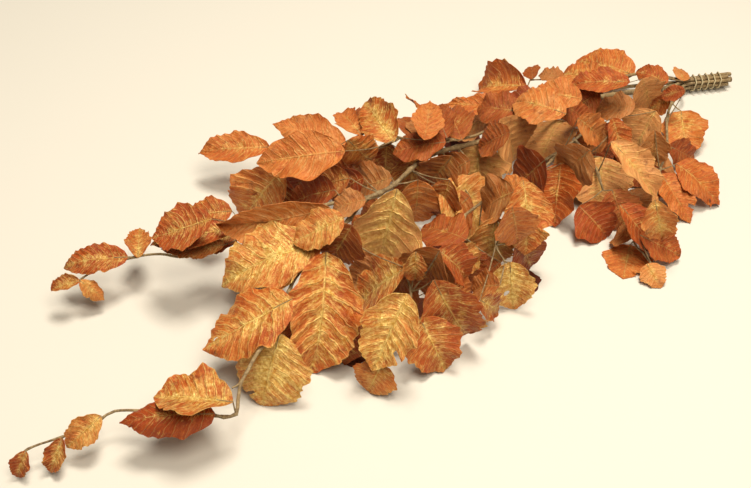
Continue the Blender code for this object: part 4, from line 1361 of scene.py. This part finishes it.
wander = add(tree, "TexNoise", {"Vector": place, "Scale": 75.0, "Detail": 4.0})
wander = add(tree, "Math", {0: wander, 1: 0.5}, operation="SUBTRACT")
shifted = add(tree, "Math", {0: wander, 1: 0.10, 2: uv.outputs[1]}, operation="MULTIPLY_ADD")
counted = add(tree, "Math", {0: shifted, 1: float(VEINS)}, operation="MULTIPLY")
from_vein = add(tree, "Math", {0: counted, 1: 0.5}, operation="PINGPONG")
vein = add(tree, "MapRange", {"Value": from_vein, "From Min": 0.08, "From Max": 0.02},
           interpolation_type="SMOOTHSTEP")
valley = add(tree, "MapRange", {"Value": from_vein, "From Min": 0.18, "From Max": 0.5},
             interpolation_type="SMOOTHSTEP")
centred = add(tree, "Math", {0: uv, 1: 0.5}, operation="SUBTRACT")
aside = add(tree, "Math", {0: centred}, operation="ABSOLUTE")
midrib = add(tree, "MapRange", {"Value": aside, "From Min": 0.022, "From Max": 0.008},
             interpolation_type="SMOOTHSTEP")
# The pale gold along the margin is partly gold paint and partly a painted highlight of the edge.
margin = add(tree, "MapRange", {"Value": aside, "From Min": 0.475, "From Max": 0.497},
             interpolation_type="SMOOTHSTEP")
ribs = add(tree, "Math", {0: vein, 1: midrib}, operation="MAXIMUM")
proud_and_edge_highlight = add(tree, "Math", {0: ribs, 1: margin}, operation="MAXIMUM")
print("veins, midrib and margin are found")

# %% [markdown]
# The brush was drawn along the veins, so its streaks run with them: the noise that draws them
# is stretched, about 1 mm across the veins and 7 mm along. Between the side veins is a net of
# fine ones, drawn with Voronoi cells of 3 mm. Noise at 10 mm says where the brush pressed, and
# the leaf's own share of gold how heavily. More gold lies toward the midrib.

# %% Leaf: where the gold caught
along = add(tree, "Math", {0: aside, 1: 7.0}, operation="MULTIPLY")
across = add(tree, "Math", {0: shifted, 1: 70.0}, operation="MULTIPLY")
own = add(tree, "Math", {0: fleck, 1: 60.0}, operation="MULTIPLY")
brushed = add(tree, "CombineXYZ", {0: along, 1: across, 2: own})
strokes = add(tree, "TexNoise", {"Vector": brushed, "Scale": 1.0, "Detail": 4.0,
                                 "Roughness": 0.7})
net = add(tree, "TexVoronoi", {"Vector": place, "Scale": 330.0}, feature="DISTANCE_TO_EDGE")
mesh_lines = add(tree, "MapRange", {"Value": net, "From Min": 0.10, "From Max": 0.02})
patches = add(tree, "TexNoise", {"Vector": place, "Scale": 100.0, "Detail": 3.0,
                                 "Roughness": 0.6})
pressed = add(tree, "MapRange", {"Value": patches, "From Min": 0.3, "From Max": 0.7,
                                 "To Min": -0.35, "To Max": 0.35})
inner = add(tree, "MapRange", {"Value": aside, "From Min": 0.34, "From Max": 0.02,
                               "To Min": -0.16, "To Max": 0.26})
level = add(tree, "Math", {0: gild, 1: 0.95, 2: pressed}, operation="MULTIPLY_ADD")
level = add(tree, "Math", {0: level, 1: 0.06})
level = add(tree, "Math", {0: level, 1: inner})
# Deep leaves also lose gold, as part of their painted shade.
level = add(tree, "Math", {0: level, 1: deep}, operation="SUBTRACT")
on_ribs = add(tree, "MapRange", {"Value": level, "From Min": 0.25, "From Max": 0.95})
on_net = add(tree, "MapRange", {"Value": level, "From Min": 0.45, "From Max": 1.10,
                                "To Max": 0.7})
heavy = add(tree, "Math", {0: level, 1: 0.36, 2: strokes}, operation="MULTIPLY_ADD")
streaks = add(tree, "MapRange", {"Value": heavy, "From Min": 0.66, "From Max": 0.98})
gold_ribs = add(tree, "Math", {0: on_ribs, 1: proud_and_edge_highlight}, operation="MULTIPLY")
gold_net = add(tree, "Math", {0: on_net, 1: mesh_lines}, operation="MULTIPLY")
gold = add(tree, "Math", {0: gold_ribs, 1: gold_net}, operation="MAXIMUM")
gold = add(tree, "Math", {0: gold, 1: streaks}, operation="MAXIMUM", use_clamp=True)
print("gold is laid")

# %% [markdown]
# The dye's tone differs from leaf to leaf, from deep copper to orange and to a pale tan,
# and drifts over each blade. It is a little darker in the valleys between the veins, and in
# stains of a few mm. The veins took less of it and stay paler. Deep leaves get painted shade and
# are darkest.

# %% Leaf: dye and stains
drift = add(tree, "TexNoise", {"Vector": place, "Scale": 70.0, "Detail": 5.0,
                               "Roughness": 0.65})
shade = add(tree, "Math", {0: drift, 1: 0.5}, operation="SUBTRACT")
shade = add(tree, "Math", {0: shade, 1: 1.1, 2: tone}, operation="MULTIPLY_ADD")
streaked = add(tree, "Math", {0: strokes, 1: 0.5}, operation="SUBTRACT")
shade = add(tree, "Math", {0: streaked, 1: 1.7, 2: shade}, operation="MULTIPLY_ADD")
dyed = add(tree, "ValToRGB", {0: shade})
for end, position, code in zip(dyed.color_ramp.elements, (0.0, 1.0),
                               ("#9A3C08", "#D99A5E")):
    end.position, end.color = position, linear(code)
for position, code in ((0.35, "#B65A20"), (0.65, "#CF7B37")):
    dyed.color_ramp.elements.new(position).color = linear(code)
# Darker in the valleys between the veins.
darker_valleys = add(tree, "Math", {0: valley, 1: 0.14}, operation="MULTIPLY")
stains = add(tree, "TexNoise", {"Vector": place, "Scale": 130.0, "Detail": 5.0,
                                "Roughness": 0.7})
stained = add(tree, "MapRange", {"Value": stains, "From Min": 0.55, "From Max": 0.70,
                                 "To Max": 0.68})
pale_ribs = add(tree, "Math", {0: ribs, 1: 0.32}, operation="MULTIPLY")
colour = dyed.outputs[0]
# The last mix, toward #501702, is painted shade on deep leaves.
for share, code in ((darker_valleys, "#7E350F"), (stained, "#6B2A0C"), (pale_ribs, "#D9A463"),
                    (deep, "#501702")):
    colour = add(tree, "Mix", {0: share, 6: colour, 7: linear(code)},
                 data_type="RGBA").outputs[2]
print("dye has", len(dyed.color_ramp.elements), "tones")

# %% [markdown]
# The gold is a paint with fine flakes in it, not a metal sheet. So it is a little smoother
# than the waxy leaf and only partly metallic, and its colour varies from speck to speck. The
# ribs and strokes stand up a little, which a bump shows without more vertices.

# %% Leaf: gold and gloss
# The palest specks also stand in for the gold's glints, as painted highlight.
speck = add(tree, "TexNoise", {"Vector": place, "Scale": 380.0, "Detail": 3.0})
paint_and_painted_glints = add(tree, "ValToRGB", {0: speck})
for end, position, code in zip(paint_and_painted_glints.color_ramp.elements, (0.35, 0.68),
                               ("#C8963E", "#FBE08C")):
    end.position, end.color = position, linear(code)
coated = add(tree, "Mix", {0: gold, 6: colour, 7: paint_and_painted_glints}, data_type="RGBA")
relief = add(tree, "Math", {0: ribs, 1: 0.8, 2: strokes}, operation="MULTIPLY_ADD")
relief = add(tree, "Math", {0: mesh_lines, 1: 0.3, 2: relief}, operation="MULTIPLY_ADD")
feed(tree, leaf_shader, {
    "Base Color": coated.outputs[2],
    "Roughness": add(tree, "MapRange", {"Value": gold, "To Min": 0.52, "To Max": 0.34}),
    "Metallic": add(tree, "Math", {0: gold, 1: 0.25}, operation="MULTIPLY"),
    "Normal": add(tree, "Bump", {"Height": relief, "Strength": 0.8, "Distance": 0.8 * MM}),
    "Specular IOR Level": 0.35})
print("leaf finish:", len(tree.nodes), "nodes")

# %% [markdown]
# ## Bark
# Young beech bark is smooth and grey-brown, with a thin pale bloom. On a dried twig it
# wrinkles, which the noise at 3 mm and 0.8 mm shows.

# %% Bark
bark_finish, tree, bark_shader = new_material("beech_bark")
place = add(tree, "TexCoord").outputs["Object"]
grain = add(tree, "TexNoise", {"Vector": place, "Scale": 330.0, "Detail": 5.0,
                               "Roughness": 0.65})
bark = add(tree, "ValToRGB", {0: grain})
for end, position, code in zip(bark.color_ramp.elements, (0.30, 0.72),
                               ("#54402B", "#B3A07C")):
    end.position, end.color = position, linear(code)
bark.color_ramp.elements.new(0.5).color = linear("#86704F")
bloom = add(tree, "TexNoise", {"Vector": place, "Scale": 45.0, "Detail": 2.0})
thin = add(tree, "MapRange", {"Value": bloom, "From Min": 0.45, "From Max": 0.75,
                              "To Max": 0.55})
pale = add(tree, "Mix", {0: thin, 6: bark, 7: linear("#A58A5C")}, data_type="RGBA")
wrinkle = add(tree, "TexNoise", {"Vector": place, "Scale": 1200.0, "Detail": 3.0})
feed(tree, bark_shader, {
    "Base Color": pale.outputs[2], "Roughness": 0.68,
    "Normal": add(tree, "Bump", {"Height": wrinkle, "Strength": 0.6, "Distance": 0.5 * MM})})
print("bark finish:", len(tree.nodes), "nodes")

# %% [markdown]
# ## Raffia
# Raffia is straw-coloured and matt. Its fibres, 0.3 mm apart, are too fine to show, so the
# noise that stands for them is twice as coarse.

# %% Raffia
tie_finish, tree, tie_shader = new_material("raffia")
place = add(tree, "TexCoord").outputs["Object"]
fibre = add(tree, "TexNoise", {"Vector": place, "Scale": 1500.0, "Detail": 3.0})
straw = add(tree, "ValToRGB", {0: fibre})
for end, position, code in zip(straw.color_ramp.elements, (0.32, 0.68),
                               ("#8E7C58", "#D8CBA8")):
    end.position, end.color = position, linear(code)
feed(tree, tie_shader, {
    "Base Color": straw, "Roughness": 0.75,
    "Normal": add(tree, "Bump", {"Height": fibre, "Strength": 0.5, "Distance": 0.3 * MM})})
print("raffia finish:", len(tree.nodes), "nodes")

# %% [markdown]
# ## Putting the pieces on the frame
# Each piece gets its finish, rides on the only body, and stands for its solid, which then
# isn't shown.

# %% Putting the pieces on the frame
def dress(piece, finish, node):
    """Give a piece its finish, and let it stand for a solid."""
    piece.data.materials.clear()
    piece.data.materials.append(finish)
    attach(piece, "root")
    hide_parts(node)


for branch in BRANCHES:
    dress(leaf_pieces[branch.name], leaf_finish, branch.name)
    dress(wood_pieces[branch.name], bark_finish, branch.name)
dress(tie, tie_finish, "tie")

# %% [markdown]
# ## The floor and the light
# The bunch was photographed on a plain pale surface in warm light, so bright that it glares.
# A large plane of matt paper takes its place.

# %% The floor
bpy.ops.object.select_all(action="DESELECT")
bpy.ops.mesh.primitive_plane_add(size=12)
floor = bpy.context.object
floor.name = "paper_floor"
paper, tree, paper_shader = new_material("cream_paper")
paper_shader.inputs["Base Color"].default_value = linear("#DAD8D4")
paper_shader.inputs["Roughness"].default_value = 0.9
floor.data.materials.append(paper)
floor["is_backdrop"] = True
print("floor laid")

# %% [markdown]
# A soft lamp hangs over the bunch, and a weaker one over the eye. The pale room fills the
# shadows only a little, so the gaps between the leaves stay deep red-brown. Colours are shown
# as they are, without a film's softened highlights.

# %% The light
LAMPS = {
    "softbox_above": ((0.25, 0.05, 2.0), 0.6, 38.0, "#FFF5E0"),
    "softbox_over_the_eye": ((-0.21, -0.84, 1.75), 0.9, 23.5, "#FFF2DA"),
}
for name, (spot, size, watts, colour) in LAMPS.items():
    bpy.ops.object.light_add(type="AREA", location=spot)
    lamp = bpy.context.object
    lamp.name = name
    lamp.data.size = size
    lamp.data.energy = watts
    lamp.data.color = linear(colour)[:3]
    lamp.rotation_euler = Vector(spot).to_track_quat("Z", "Y").to_euler()
room = bpy.data.worlds.new("pale_room")
room.use_nodes = True
room.node_tree.nodes["Background"].inputs[0].default_value = linear("#FFF0D8")
room.node_tree.nodes["Background"].inputs[1].default_value = 0.17
bpy.context.scene.world = room
bpy.context.scene.view_settings.view_transform = "Standard"
print(len(LAMPS), "lamps and a pale room")

# %% [markdown]
# ## Sizes and the end
# The box of the solids and the box of what now shows are printed.

shown_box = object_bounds()
for name, box in (("solids", cad_box), ("shown", shown_box)):
    print(name, [round(b - a, 3) for a, b in zip(*box)])
